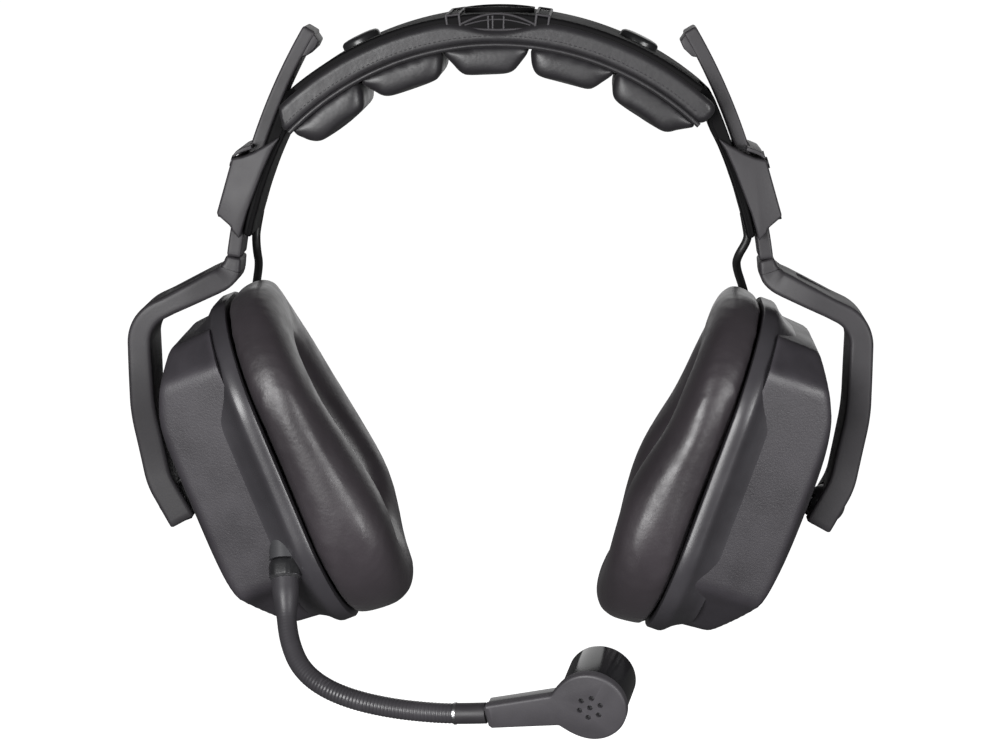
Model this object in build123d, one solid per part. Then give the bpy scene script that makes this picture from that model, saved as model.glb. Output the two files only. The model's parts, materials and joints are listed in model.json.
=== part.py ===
from build123d import *
import math
import os

# Two-cup headset with a padded headband, sliding yoke arms and a gooseneck boom microphone.
# Millimetres, +Z up, -Y to the wearer's front. The origin is where the crown of the head meets
# the middle pad lobe. Names say left and right as seen from the front.

# Headband, as arcs about one centre below the crown
HEAD_RADIUS = 78.5
SEAM_RADIUS = 87.0
COVER_RADIUS = 94.3
STRAP_RADIUS = 97.0
PAD_TURN = -1.1
PAD_HALF_ANGLE = 45.1
PAD_HALF_DEPTH = 22.5
LOBE_COUNT = 5
LOBE_ANGLE = 17.6
LOBE_TURN = -2.3
LOBE_GAP_ANGLE = 0.7
CORE_INSET = 2.4
STRAP_HALF_DEPTH = 21.5
STRAP_HALF_ANGLE = 40.0
STRAP_END_ANGLE = 69.5
TAIL_HALF_DEPTH = 13.4
LEAF_THICKNESS = 0.8
LEAF_HALF_WIDTH = 8.0
LEAF_HALF_ANGLE = 35.0
BAND = Vector(0, 0, -HEAD_RADIUS)

# Trim on the outside of the strap
OPENING_HALF = (9.5, 7.5)
BRIDGE_HALF = (12.0, 10.0)
BUTTON_ANGLE = 25.8
BUTTON_HALF = (6.2, 5.6)
CLIP_ANGLE = 8.0
CLIP_HALF_ANGLE = 1.3

# Height slider: a curved strip that runs through a housing at each end of the strap
STRIP_RADIUS = 185.0
STRIP_THICKNESS = 4.3
STRIP_HALF_WIDTH = 8.0
STRIP_LENGTH = 75.5
STRIP_FOOT = Vector(-81.97, 0, -57.0)
STRIP_FOOT_ANGLE = 7.6
LUG_LENGTH = 7.0
LUG_HEIGHT = 2.0
SLIDE_GAP = 0.35
DETENT_SPAN = (14.0, 29.0)
HOUSING_HALF_DEPTH = 15.4
CHEEK_GAP = 0.15
HOUSING_OUTLINE = [
    (-81.1, -25.8), (-86.1, -42.8), (-81.8, -46.6), (-81.5, -47.8), (-79.2, -50.4), (-78.1, -46.5),
    (-76.7, -42.1), (-74.6, -36.7), (-71.8, -29.6), (-68.7, -22.9), (-66.3, -19.1), (-71.0, -21.7),
    (-74.4, -23.6), (-77.8, -24.9),
]
LIP_HEIGHT = 33.6

# Yoke arm
ARM_THICKNESS = 7.2
ARM_HALF_DEPTH = 11.5
ARM_END_HALF_DEPTH = 8.5
ARM_ROUTE = [
    (-81.9, -57.0), (-83.2, -62.6), (-111.4, -76.2), (-110.9, -105.0), (-106.6, -127.5), (-100.4, -138.8),
]
ARM_BENDS = [6.0, 11.0, 60.0, 22.0]

# Ear cup, in its own frame: X up the cup, Y to the rear, Z outwards from the cushion seam
CUP_CENTRE = Vector(-64.1, 0, -119.7)
CUP_TILT = 22.0
RIGHT_CUP_TRIM = 2.5
RIM_LENGTH = 107.0
RIM_DEPTH = 84.0
RIM_CORNER = 34.0
RIM_THICKNESS = 5.5
RIM_WIDTH = 5.5
SHELL_LENGTH = 97.0
SHELL_DEPTH = 77.0
SHELL_END_DRAFT = 3.5
SHELL_SIDE_DRAFT = 12.5
SHELL_WALL = 2.4
CUP_HEIGHT = 35.0
DOME_RADIUS_ALONG = 79.5
DOME_RADIUS_ACROSS = 110.0
CUSHION_THICKNESS = 20.5
CUSHION_OPENING = (66.0, 42.0, 19.0)
CUSHION_EDGE = 8.0
DRIVER_RADIUS = 20.0
SCREW_PLACES = [(-34, -21), (-34, 21), (34, -21), (34, 21)]

# Ball pivot between arm and cup
PIVOT_HEIGHT = 41.0
BALL_RADIUS = 4.0
BUSH_RADIUS = 6.2
SOCKET_RADIUS = 6.5
BOSS_RADIUS = 8.5
STUD_RADIUS = 2.0

# Boom microphone
BOOM_RADIUS = 3.1
BOOM_EXIT = Vector(-63.8, -39.5, -150.6)
BOOM_OUT = Vector(0.07, -0.45, -0.89).normalized()
BOOM_ROUTE = [
    (-63.8, -39.5, -150.6), (-63.2, -42.6, -156.7), (-62.7, -46.2, -162.6), (-61.1, -50.8, -168.4),
    (-57.6, -56.2, -173.9), (-51.2, -61.7, -177.7), (-41.9, -66.5, -180.3), (-30.0, -70.0, -181.9),
    (-18.0, -72.5, -182.4), (-8.6, -73.9, -182.2), (-1.4, -75.2, -181.5),
]
BOOM_SPLITS = (3, 7)
JOINT_GAP = 0.35
GLAND_RADIUS = 4.6
NUT_RADIUS = 5.0
NUT_SPAN = (-5.6, 0.4)
COLLAR_RADIUS = 4.0
COLLAR_SPAN = (0.4, 5.0)
FERRULE_LENGTH = 9.2
MIC_CENTRE = Vector(28.8, -86.1, -176.4)
MIC_FACING = Vector(-0.20, -0.947, -0.25).normalized()
MIC_TAILWARD = Vector(-0.95, 0.24, -0.196)
MIC_RADIUS = 10.7
MIC_PLATE_DEPTH = 3.0
MIC_TOTAL_DEPTH = 19.5
MIC_CAN_RADIUS = 10.0
MIC_NECK_DEPTH = 7.0
MIC_TAIL_LENGTH = 30.0
MIC_NECK_HALF = (5.6, 3.6)
MIC_WALL = 1.4
MIC_HOLE_RING = 3.25
MIC_HOLE_RADIUS = 0.8

# Wire between the cups, held in the headband; angle from the crown and radius about the band centre
WIRE_RADIUS = 1.35
CORE_RADIUS = 0.8
WIRE_CLEARANCE = 0.15
WIRE_Y = 11.6
WIRE_STATIONS = [
    (69.8, 82.0), (63.0, 84.0), (56.0, 86.6), (48.0, 90.3), (40.0, 91.6), (29.0, 92.6), (14.5, 92.4),
]
TAIL_LEAD = 3.0
# ... then up the cup, to the rear and outwards, as far as the rim
TAIL_ROUTE = [(61.5, 12.6, -11.0), (56.6, 19.0, -9.2), (51.0, 29.0, -5.0), (44.6, 37.2, 0.4), (37.6, 30.6, 2.8)]

parts = {}


def polar(angle, radius, centre=BAND):
    """Point of the front plane at an angle from straight up, positive to the right."""
    turn = math.radians(angle)
    return (centre.X + radius * math.sin(turn), centre.Z + radius * math.cos(turn))


def sector(inner, outer, start, end, centre=BAND):
    """Part of a ring in the front plane, between two angles from straight up."""
    mid = (start + end) / 2
    return make_face([
        ThreePointArc(polar(start, outer, centre), polar(mid, outer, centre), polar(end, outer, centre)),
        Line(polar(end, outer, centre), polar(end, inner, centre)),
        ThreePointArc(polar(end, inner, centre), polar(mid, inner, centre), polar(start, inner, centre)),
        Line(polar(start, inner, centre), polar(start, outer, centre)),
    ])


def slab(face, half_depth, middle=0.0):
    """A front-plane outline given a depth from front to back."""
    return Pos(0, middle, 0) * extrude(Plane.XZ * face, amount=half_depth, both=True)


def disc(radius, centre):
    return Pos(centre.X, centre.Z) * Circle(radius)


def tube(route, radius):
    """A round tube along straight runs joined by arcs as large as the runs allow."""
    points = [Vector(*p) for p in route]
    radii = []
    for before, here, after in zip(points, points[1:], points[2:]):
        turn = math.radians((here - before).get_angle(after - here))
        radii.append(0.45 * min((here - before).length, (after - here).length) / math.tan(turn / 2))
    path = FilletPolyline(*points, radius=radii)
    section = Plane(origin=points[0], z_dir=points[1] - points[0]) * Circle(radius)
    return sweep(section, path=path)


def rod(start, direction, length, radius):
    return extrude(Plane(origin=start, z_dir=direction) * Circle(radius), amount=length)


def on_right(solid, pivoted=False):
    """The matching piece of the right side; the right cup hangs a little more upright."""
    other = mirror(solid, about=Plane.YZ)
    if not pivoted:
        return other
    pivot = Vector(-PIVOT.X, PIVOT.Y, PIVOT.Z)
    return Pos(pivot) * Rot(0, -RIGHT_CUP_TRIM, 0) * Pos(-pivot) * other


def right_cup_point(up_cup, rearward, outward):
    """A point of the right cup, given in the cup's own frame."""
    lean = math.radians(CUP_TILT - RIGHT_CUP_TRIM)
    out = Vector(math.cos(lean), 0, -math.sin(lean))
    up = Vector(math.sin(lean), 0, math.cos(lean))
    pivot = Vector(-PIVOT.X, PIVOT.Y, PIVOT.Z)
    return pivot + up * up_cup + Vector(0, rearward, 0) + out * (outward - PIVOT_HEIGHT)


def both_sides(name, solid, pivoted=False):
    parts["left_" + name] = solid
    parts["right_" + name] = on_right(solid, pivoted)


def group(solids):
    return Compound(children=[s.solid() for s in solids])


def largest(shape):
    return shape.solids().sort_by(SortBy.VOLUME)[-1]


# Places worked out from the driving dimensions
foot_turn = math.radians(STRIP_FOOT_ANGLE)
STRIP_CENTRE = STRIP_FOOT + Vector(math.cos(foot_turn), 0, -math.sin(foot_turn)) * STRIP_RADIUS
RIGHT_STRIP_CENTRE = Vector(-STRIP_CENTRE.X, 0, STRIP_CENTRE.Z)
STRIP_INNER = STRIP_RADIUS - STRIP_THICKNESS / 2
STRIP_OUTER = STRIP_RADIUS + STRIP_THICKNESS / 2
tilt = math.radians(CUP_TILT)
CUP_OUT = Vector(-math.cos(tilt), 0, -math.sin(tilt))
CUP_UP = Vector(-math.sin(tilt), 0, math.cos(tilt))
CUP_PLANE = Plane(origin=CUP_CENTRE, x_dir=CUP_UP, z_dir=CUP_OUT)
PIVOT = CUP_CENTRE + CUP_OUT * PIVOT_HEIGHT
PIVOT_PLANE = Plane(origin=PIVOT, x_dir=CUP_UP, z_dir=CUP_OUT)
MIC_PLANE = Plane(origin=MIC_CENTRE, x_dir=MIC_TAILWARD, z_dir=MIC_FACING)


def strip_angle(length):
    """Angle from straight up, seen from the strip's centre, of a point so far above its foot."""
    return -90 + STRIP_FOOT_ANGLE + math.degrees(length / STRIP_RADIUS)


def make_wire():
    left = [polar(-angle, radius) for angle, radius in WIRE_STATIONS]
    right = [polar(angle, radius) for angle, radius in reversed(WIRE_STATIONS)]
    crown = [polar(0, WIRE_STATIONS[-1][1] + 0.8)]
    route = [(x, WIRE_Y, z) for x, z in left + crown + right]
    parts["crossover_wire"] = tube(route, CORE_RADIUS)
    channel = tube(route, CORE_RADIUS + WIRE_CLEARANCE)
    for end, before in ((route[0], route[1]), (route[-1], route[-2])):
        way = (Vector(*end) - Vector(*before)).normalized()
        channel = channel + rod(Vector(*end) - way * 0.6, way, 6.0, WIRE_RADIUS + WIRE_CLEARANCE)
    return channel


def pad_sector(inner, outer, inset=0.0):
    return sector(inner, outer, PAD_TURN - PAD_HALF_ANGLE + inset, PAD_TURN + PAD_HALF_ANGLE - inset)


def make_headband(wire_channel):
    # The strap follows the crown, then drops inside the slider strip to its lower end.
    tail_inner = [polar(-46.0, 88.8), polar(-57.0, 84.4), polar(-STRAP_END_ANGLE, 81.0)]
    tail = make_face([
        Line(polar(-STRAP_HALF_ANGLE, COVER_RADIUS), tail_inner[0]),
        ThreePointArc(*tail_inner),
        Line(tail_inner[2], polar(-STRAP_END_ANGLE, 84.0)),
        Polyline(polar(-STRAP_END_ANGLE, 84.0), polar(-60.0, 92.0), polar(-50.0, 98.0),
                 polar(-STRAP_HALF_ANGLE, STRAP_RADIUS)),
        Line(polar(-STRAP_HALF_ANGLE, STRAP_RADIUS), polar(-STRAP_HALF_ANGLE, COVER_RADIUS)),
    ])
    limit = disc(STRIP_INNER - SLIDE_GAP, STRIP_CENTRE)
    right_limit = disc(STRIP_INNER - SLIDE_GAP, RIGHT_STRIP_CENTRE)
    left_tail = slab(tail & limit, TAIL_HALF_DEPTH)
    right_tail = mirror(left_tail, about=Plane.YZ)
    band = sector(COVER_RADIUS, STRAP_RADIUS, -STRAP_HALF_ANGLE - 1, STRAP_HALF_ANGLE + 1)
    arch = slab(band & limit & right_limit, STRAP_HALF_DEPTH)
    strap = arch + left_tail + right_tail
    pocket_outer = COVER_RADIUS + LEAF_THICKNESS
    leaf = slab(sector(COVER_RADIUS, pocket_outer, -LEAF_HALF_ANGLE, LEAF_HALF_ANGLE), LEAF_HALF_WIDTH)
    # Room for the stop lug at the top of each strip.
    lug_inner = STRIP_INNER - LUG_HEIGHT - 0.6
    lug_outline = sector(lug_inner, STRIP_INNER + 9, strip_angle(42), strip_angle(70.5), STRIP_CENTRE)
    lug_room = slab(lug_outline, STRIP_HALF_WIDTH + 0.6)
    lens = Ellipse(*OPENING_HALF)
    opening = Pos(0, 0, 15) * extrude(lens, amount=20)
    right_room = mirror(lug_room, about=Plane.YZ)
    strap = strap - leaf - lug_room - right_room - opening
    cover = fillet(pad_sector(SEAM_RADIUS, COVER_RADIUS).vertices(), 3.0) & limit & right_limit
    core = slab(pad_sector(SEAM_RADIUS, COVER_RADIUS - CORE_INSET, 6.0), PAD_HALF_DEPTH - 2.0)
    cover = slab(cover, PAD_HALF_DEPTH) - left_tail - right_tail - lug_room - right_room - core
    parts["outer_strap"] = (strap - wire_channel).solid()
    parts["spring_band"] = leaf - opening
    parts["head_pad_cover"] = largest(cover - wire_channel)
    parts["head_pad_core"] = (core - wire_channel).solid()


def make_lobes():
    lobes = []
    for number in range(LOBE_COUNT):
        middle = LOBE_TURN + (number - (LOBE_COUNT - 1) / 2) * LOBE_ANGLE
        reach = (LOBE_ANGLE - LOBE_GAP_ANGLE) / 2
        outline = sector(HEAD_RADIUS, SEAM_RADIUS - 0.3, middle - reach, middle + reach)
        crown_side = outline.vertices().sort_by(lambda v: Vector(v.X, v.Y + HEAD_RADIUS, 0).length)[:2]
        lobes.append(slab(fillet(crown_side, 5.0), PAD_HALF_DEPTH - 1.0))
    parts["pad_lobes"] = group(lobes)


def make_strap_trim():
    strap_solid = slab(disc(STRAP_RADIUS, BAND), 30)
    buttons = []
    for side in (-1, 1):
        x, z = polar(BUTTON_ANGLE * side, STRAP_RADIUS)
        place = Pos(x, 0, z) * Rot(0, BUTTON_ANGLE * side, 0)
        dome = place * Pos(0, 0, 0.5) * extrude(Ellipse(*BUTTON_HALF), amount=1.9)
        foot = place * Cylinder(3.0, 2.4)
        buttons.append((dome + foot) - strap_solid)
    parts["strap_buttons"] = group(buttons)
    clips = []
    for side in (-1, 1):
        start, end = CLIP_ANGLE * side - CLIP_HALF_ANGLE, CLIP_ANGLE * side + CLIP_HALF_ANGLE
        clips.append(slab(sector(STRAP_RADIUS, STRAP_RADIUS + 1.9, start, end), 11.0))
    parts["strap_clips"] = group(clips)
    rim = Pos(0, 0, 10) * extrude(Ellipse(*BRIDGE_HALF) - Ellipse(*OPENING_HALF), amount=15)
    rib = Pos(0, 0, 10) * extrude(Rectangle(4.5, 2 * OPENING_HALF[1] + 0.2), amount=15)
    shell = slab(sector(STRAP_RADIUS, STRAP_RADIUS + 1.4, -6.2, 6.2), 12.0)
    rib_layer = slab(sector(STRAP_RADIUS - 0.6, STRAP_RADIUS + 0.9, -6.2, 6.2), 12.0)
    parts["centre_bridge"] = ((rim & shell) + (rib & rib_layer) - parts["outer_strap"]).solid()


def make_slider(wire_channel):
    inside = disc(STRIP_INNER - SLIDE_GAP, STRIP_CENTRE)
    outline = make_face(Polyline(*HOUSING_OUTLINE, close=True))
    cheek_start = TAIL_HALF_DEPTH + CHEEK_GAP
    cheek_depth = (HOUSING_HALF_DEPTH - cheek_start) / 2
    block = slab(outline - inside, HOUSING_HALF_DEPTH)
    cheeks_outline = outline - disc(STRIP_INNER - 12, STRIP_CENTRE)
    for side in (-1, 1):
        block = block + slab(cheeks_outline, cheek_depth, side * (cheek_start + cheek_depth))
    slot_inner, slot_outer = STRIP_INNER - SLIDE_GAP, STRIP_OUTER + SLIDE_GAP
    slot_outline = sector(slot_inner, slot_outer, strip_angle(-10), strip_angle(60), STRIP_CENTRE)
    channel = slab(slot_outline, STRIP_HALF_WIDTH + SLIDE_GAP)
    detent_start, detent_end = strip_angle(DETENT_SPAN[0]), strip_angle(DETENT_SPAN[1])
    spring_pocket = slab(sector(STRIP_OUTER, STRIP_OUTER + 1.6, detent_start, detent_end, STRIP_CENTRE), 4.4)
    detent = slab(sector(STRIP_OUTER + 0.9, STRIP_OUTER + 1.6, detent_start, detent_end, STRIP_CENTRE), 4.2)
    lip_cut = slab(
        sector(STRIP_INNER - 16, STRIP_OUTER + 12, strip_angle(LIP_HEIGHT), strip_angle(60), STRIP_CENTRE),
        HOUSING_HALF_DEPTH + 1,
    )
    pad_room = slab(sector(SEAM_RADIUS - 9, COVER_RADIUS + 1, -PAD_HALF_ANGLE - 3, 0), PAD_HALF_DEPTH + 1)
    collar = (block & lip_cut) - channel - pad_room
    housing = block - lip_cut - channel - spring_pocket - wire_channel
    fixed = []
    for height in (13.5, 29.0):
        for y in (-9.5, 9.5):
            x, z = polar(strip_angle(height), STRIP_OUTER + 3.0, STRIP_CENTRE)
            inward = (STRIP_CENTRE - Vector(x, 0, z)).normalized()
            screw = rod(Vector(x, y, z), inward, 6.2, 0.9) + rod(Vector(x, y, z), -inward, 1.2, 1.8)
            fixed.append(screw.solid())
    mirrored = [mirror(screw, about=Plane.YZ) for screw in fixed]
    for screw in fixed:
        housing = housing - screw
    for screw in fixed + mirrored:
        parts["outer_strap"] = (parts["outer_strap"] - screw).solid()
    both_sides("slider_housing", largest(housing))
    both_sides("slider_collar", largest(collar))
    parts["detent_springs"] = group([detent, mirror(detent, about=Plane.YZ)])
    parts["slider_screws"] = group(fixed + mirrored)


def make_strip(screws):
    top = strip_angle(STRIP_LENGTH)
    strip = slab(sector(STRIP_INNER, STRIP_OUTER, strip_angle(0), top, STRIP_CENTRE), STRIP_HALF_WIDTH)
    lug_start = strip_angle(STRIP_LENGTH - LUG_LENGTH)
    lug = slab(sector(STRIP_INNER - LUG_HEIGHT, STRIP_INNER, lug_start, top, STRIP_CENTRE), STRIP_HALF_WIDTH)
    groove = slab(
        sector(STRIP_OUTER - 0.8, STRIP_OUTER + 1, strip_angle(50), strip_angle(70), STRIP_CENTRE), 4.0,
    )
    tang_inner, tang_outer = STRIP_RADIUS - 1.2, STRIP_RADIUS + 1.2
    tang_outline = sector(tang_inner, tang_outer, strip_angle(-4.5), strip_angle(0.5), STRIP_CENTRE)
    tip_x, tip_z = polar(top, STRIP_RADIUS, STRIP_CENTRE)
    slant = Pos(tip_x - 3.6, 0, tip_z + 3.2) * Rot(0, 12, 0) * Box(12, 40, 6)
    strip = strip + lug + slab(tang_outline, 6.0) - groove - slant
    for number in range(7):
        x, z = polar(strip_angle(13 + 5 * number), STRIP_OUTER + 0.5, STRIP_CENTRE)
        strip = strip - Pos(x, 0, z) * Rot(90, 0, 0) * Cylinder(1.0, 8.0)
    for screw in screws:
        strip = strip - screw
    return strip


def make_arm():
    screws = []
    for y in (-3.6, 3.6):
        x, z = polar(strip_angle(-2.6), STRIP_RADIUS + 3.6, STRIP_CENTRE)
        inward = (STRIP_CENTRE - Vector(x, 0, z)).normalized()
        screw = rod(Vector(x, y, z), inward, 5.2, 0.9) + rod(Vector(x, y, z), -inward, 1.0, 1.7)
        screws.append(screw.solid())
    strip = make_strip(screws)
    path = FilletPolyline(*ARM_ROUTE, radius=ARM_BENDS)
    outline = make_face(offset(path, ARM_THICKNESS / 2, side=Side.BOTH, kind=Kind.ARC))
    above = slab(
        sector(STRIP_INNER - 20, STRIP_OUTER + 20, strip_angle(0), strip_angle(30), STRIP_CENTRE), 30,
    )
    wide, narrow = ARM_HALF_DEPTH, ARM_END_HALF_DEPTH
    depth = make_face(Polyline(
        (-wide, -40), (wide, -40), (wide, -88), (narrow, -126), (narrow - 2, -150),
        (2 - narrow, -150), (-narrow, -126), (-wide, -88), close=True,
    ))
    arm = (slab(outline, wide) - above) & extrude(Plane.YZ * depth, amount=150, both=True)
    channel_line = Line((-92.0, -63.6), (-104.0, -69.4))
    channel = slab(make_face(offset(channel_line, 1.6, side=Side.BOTH)), 6.5)
    boss = rod(PIVOT - CUP_OUT * 2.4, CUP_OUT, 5.0, BOSS_RADIUS)
    mouth = rod(PIVOT, -CUP_OUT, 12, SOCKET_RADIUS - 0.5)
    arm = arm + boss - channel - Pos(PIVOT) * Sphere(SOCKET_RADIUS) - mouth
    for screw in screws:
        arm = arm - screw
    both_sides("slider_strip", strip.solid())
    both_sides("yoke_arm", largest(arm - strip))
    parts["left_arm_screws"] = group(screws)
    parts["right_arm_screws"] = group([mirror(s, about=Plane.YZ) for s in screws])
    slot = Box(2 * (STUD_RADIUS + 0.3), 2 * (STUD_RADIUS + 1.8), 12)
    bush = Sphere(BUSH_RADIUS) - Sphere(BALL_RADIUS + 0.1) - Pos(0, 0, -6) * slot
    both_sides("swivel_bush", PIVOT_PLANE * bush, pivoted=True)


def octagon(length, depth, corner):
    """Cup outline: long flat front and back, short flat ends and slanting corners."""
    a, b = length / 2, depth / 2
    side_end = a - 0.19 * length
    end_side = b - 0.27 * depth
    points = [
        (a, end_side), (side_end, b), (-side_end, b), (-a, end_side),
        (-a, -end_side), (-side_end, -b), (side_end, -b), (a, -end_side),
    ]
    face = make_face(Polyline(*points, close=True))
    return fillet(face.vertices(), corner)


def cup_block(inset):
    """The cup's outer form, or the same form moved in by the wall's thickness."""
    reach = CUP_HEIGHT + 3 - RIM_THICKNESS
    narrow = 2 * reach * math.tan(math.radians(SHELL_END_DRAFT))
    shallow = 2 * reach * math.tan(math.radians(SHELL_SIDE_DRAFT))
    length, depth = SHELL_LENGTH - 2 * inset, SHELL_DEPTH - 2 * inset
    base = octagon(length, depth, 7.0)
    top = octagon(length - narrow, depth - shallow, 5.0)
    block = loft([Pos(0, 0, RIM_THICKNESS) * base, Pos(0, 0, RIM_THICKNESS + reach) * top], ruled=True)
    long_radius, cross_radius = DOME_RADIUS_ALONG, DOME_RADIUS_ACROSS
    along = Pos(0, 0, CUP_HEIGHT - long_radius) * Rot(90, 0, 0) * Cylinder(long_radius - inset, 200)
    across = Pos(0, 0, CUP_HEIGHT - cross_radius) * Rot(0, 90, 0) * Cylinder(cross_radius - inset, 200)
    return block & along & across


def rim_outline(trim):
    return RectangleRounded(RIM_LENGTH - trim, RIM_DEPTH - trim, RIM_CORNER - trim / 2)


def make_shell(screws, stud):
    block = cup_block(0.0)
    shell = block - cup_block(SHELL_WALL)
    for a, b in SCREW_PLACES:
        shell = shell + (Pos(a, b, 16) * Cylinder(3.0, 32) & block)
    shell = shell + (Pos(0, 0, 27.5) * Cylinder(6.0, 22) & block) - stud
    for screw in screws:
        shell = shell - screw
    return shell


def make_baffle(screws):
    baffle = Pos(0, 0, 1) * extrude(rim_outline(2 * RIM_WIDTH + 0.1), amount=2)
    hole = Pos(0, 0, 2) * Cylinder(2.4, 6)
    baffle = baffle - hole
    for place in PolarLocations(11.0, 6):
        baffle = baffle - place * hole
    for screw in screws:
        baffle = baffle - screw
    return baffle


def make_cushion():
    ring = rim_outline(1) - RectangleRounded(*CUSHION_OPENING)
    cushion = extrude(ring, amount=-CUSHION_THICKNESS)
    cushion = fillet(cushion.edges().group_by(Axis.Z)[0], CUSHION_EDGE)
    return fillet(cushion.edges().group_by(Axis.Z)[-1], 2.5)


def make_cup():
    screws = []
    for a, b in SCREW_PLACES:
        screws.append(Pos(a, b, 8.5) * Cylinder(1.2, 17) + Pos(a, b, 0.6) * Cylinder(2.4, 0.8))
    stud = Pos(0, 0, 30.5) * Cylinder(STUD_RADIUS, 19) + Pos(0, 0, PIVOT_HEIGHT) * Sphere(BALL_RADIUS)
    stud = stud + Pos(0, 0, CUP_HEIGHT - 1.4) * Cylinder(STUD_RADIUS + 1.2, 1.4)
    ring = extrude(rim_outline(0) - rim_outline(2 * RIM_WIDTH), amount=RIM_THICKNESS)
    ring = chamfer(ring.edges().group_by(Axis.Z)[-1].filter_by(lambda e: e.length > 1)[:8], 1.2)
    frame = Pos(0, 0, 5.5) * (Cylinder(DRIVER_RADIUS, 5) - Cylinder(DRIVER_RADIUS - 1.6, 5))
    frame = frame + Pos(0, 0, 8.6) * (Cylinder(DRIVER_RADIUS, 1.2) - Cylinder(7.0, 1.2))
    cone = Pos(0, 0, 5.0) * Cylinder(DRIVER_RADIUS - 1.7, 0.4) + Pos(0, 0, 7.1) * Cylinder(6.0, 3.8)
    scrim = extrude(RectangleRounded(*CUSHION_OPENING), amount=-1.5)
    pieces = {
        "cup_shell": make_shell(screws, stud), "rim_ring": ring, "baffle_plate": make_baffle(screws),
        "driver_frame": frame, "driver_diaphragm": cone, "driver_magnet": Pos(0, 0, 12.2) * Cylinder(12.0, 6.0),
        "damping_foam": Pos(0, 0, 20.5) * (Box(56, 34, 8) - Cylinder(8.0, 10)),
        "ear_cushion": make_cushion(), "ear_scrim": scrim, "ball_stud": stud,
    }
    for name, piece in pieces.items():
        both_sides(name, CUP_PLANE * piece.solid(), pivoted=True)
    placed = [CUP_PLANE * screw.solid() for screw in screws]
    parts["left_cup_screws"] = group(placed)
    parts["right_cup_screws"] = group([on_right(s, pivoted=True) for s in placed])


def make_left_cup_fittings():
    gland_start = BOOM_EXIT - BOOM_OUT * 14
    gland_end = BOOM_EXIT + BOOM_OUT * (NUT_SPAN[0] - 0.05)
    gland_length = (gland_end - gland_start).length
    gland = rod(gland_start, BOOM_OUT, gland_length, GLAND_RADIUS)
    bore = rod(gland_start, BOOM_OUT, 20, BOOM_RADIUS + 0.3)
    inlet_plane = Plane(origin=CUP_PLANE.from_local_coords(Vector(-43.5, 14, 15)), z_dir=-CUP_UP)
    inlet = inlet_plane * (Pos(0, 0, 1) * Cylinder(5.4, 12) - Pos(0, 0, 1) * Cylinder(3.0, 12))
    parts["cable_inlet"] = inlet
    parts["boom_gland"] = gland - bore
    clear = rod(gland_start, BOOM_OUT, gland_length + 0.2, GLAND_RADIUS)
    clear = clear + rod(gland_end - BOOM_OUT * 0.1, BOOM_OUT, 12, NUT_RADIUS + 0.6)
    cuts = {"left_cup_shell": clear + inlet_plane * Cylinder(5.4, 16), "left_rim_ring": clear}
    for name, cut in cuts.items():
        parts[name] = largest(parts[name] - cut)
    parts["terminal_board"] = CUP_PLANE * Pos(0, 0, 26.4) * (Box(30, 20, 1.6) - Cylinder(8.0, 3))


def make_boom():
    nut = rod(BOOM_EXIT + BOOM_OUT * NUT_SPAN[0], BOOM_OUT, NUT_SPAN[1] - NUT_SPAN[0], NUT_RADIUS)
    nut = fillet(nut.edges().filter_by(GeomType.CIRCLE), 1.0)
    nut = nut + rod(BOOM_EXIT, BOOM_OUT, COLLAR_SPAN[1], COLLAR_RADIUS)
    parts["boom_nut"] = nut - rod(BOOM_EXIT - BOOM_OUT * 8, BOOM_OUT, 20, BOOM_RADIUS + 0.05)
    points = [Vector(*p) for p in BOOM_ROUTE]
    end_way = (points[-1] - points[-2]).normalized()
    lower, upper = BOOM_SPLITS
    root = [points[1] - BOOM_OUT * 18] + points[1:lower + 1]
    tip = points[upper:-1]
    lengths = [tube([tuple(p) for p in piece], BOOM_RADIUS) for piece in (root, points[lower:upper + 1], tip)]
    for place, before, after in ((lower, 0, 1), (upper, 1, 2)):
        centre = points[place]
        gap = Pos(centre) * Sphere(BOOM_RADIUS + JOINT_GAP)
        neck = rod(centre, (points[place + 1] - centre).normalized(), 4.2, 1.6)
        stem_way = (points[place - 1] - centre).normalized()
        lengths[before] = largest(lengths[before] - gap) + rod(centre + stem_way * 2.5, stem_way, 1.8, 1.4)
        lengths[after] = largest(lengths[after] - gap) + Pos(centre) * Sphere(2.2) + neck
    for name, solid in zip(("gooseneck_root", "gooseneck_middle", "gooseneck_tip"), lengths):
        parts[name] = solid.solid()
    return points[-1], points[-2], end_way


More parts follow.
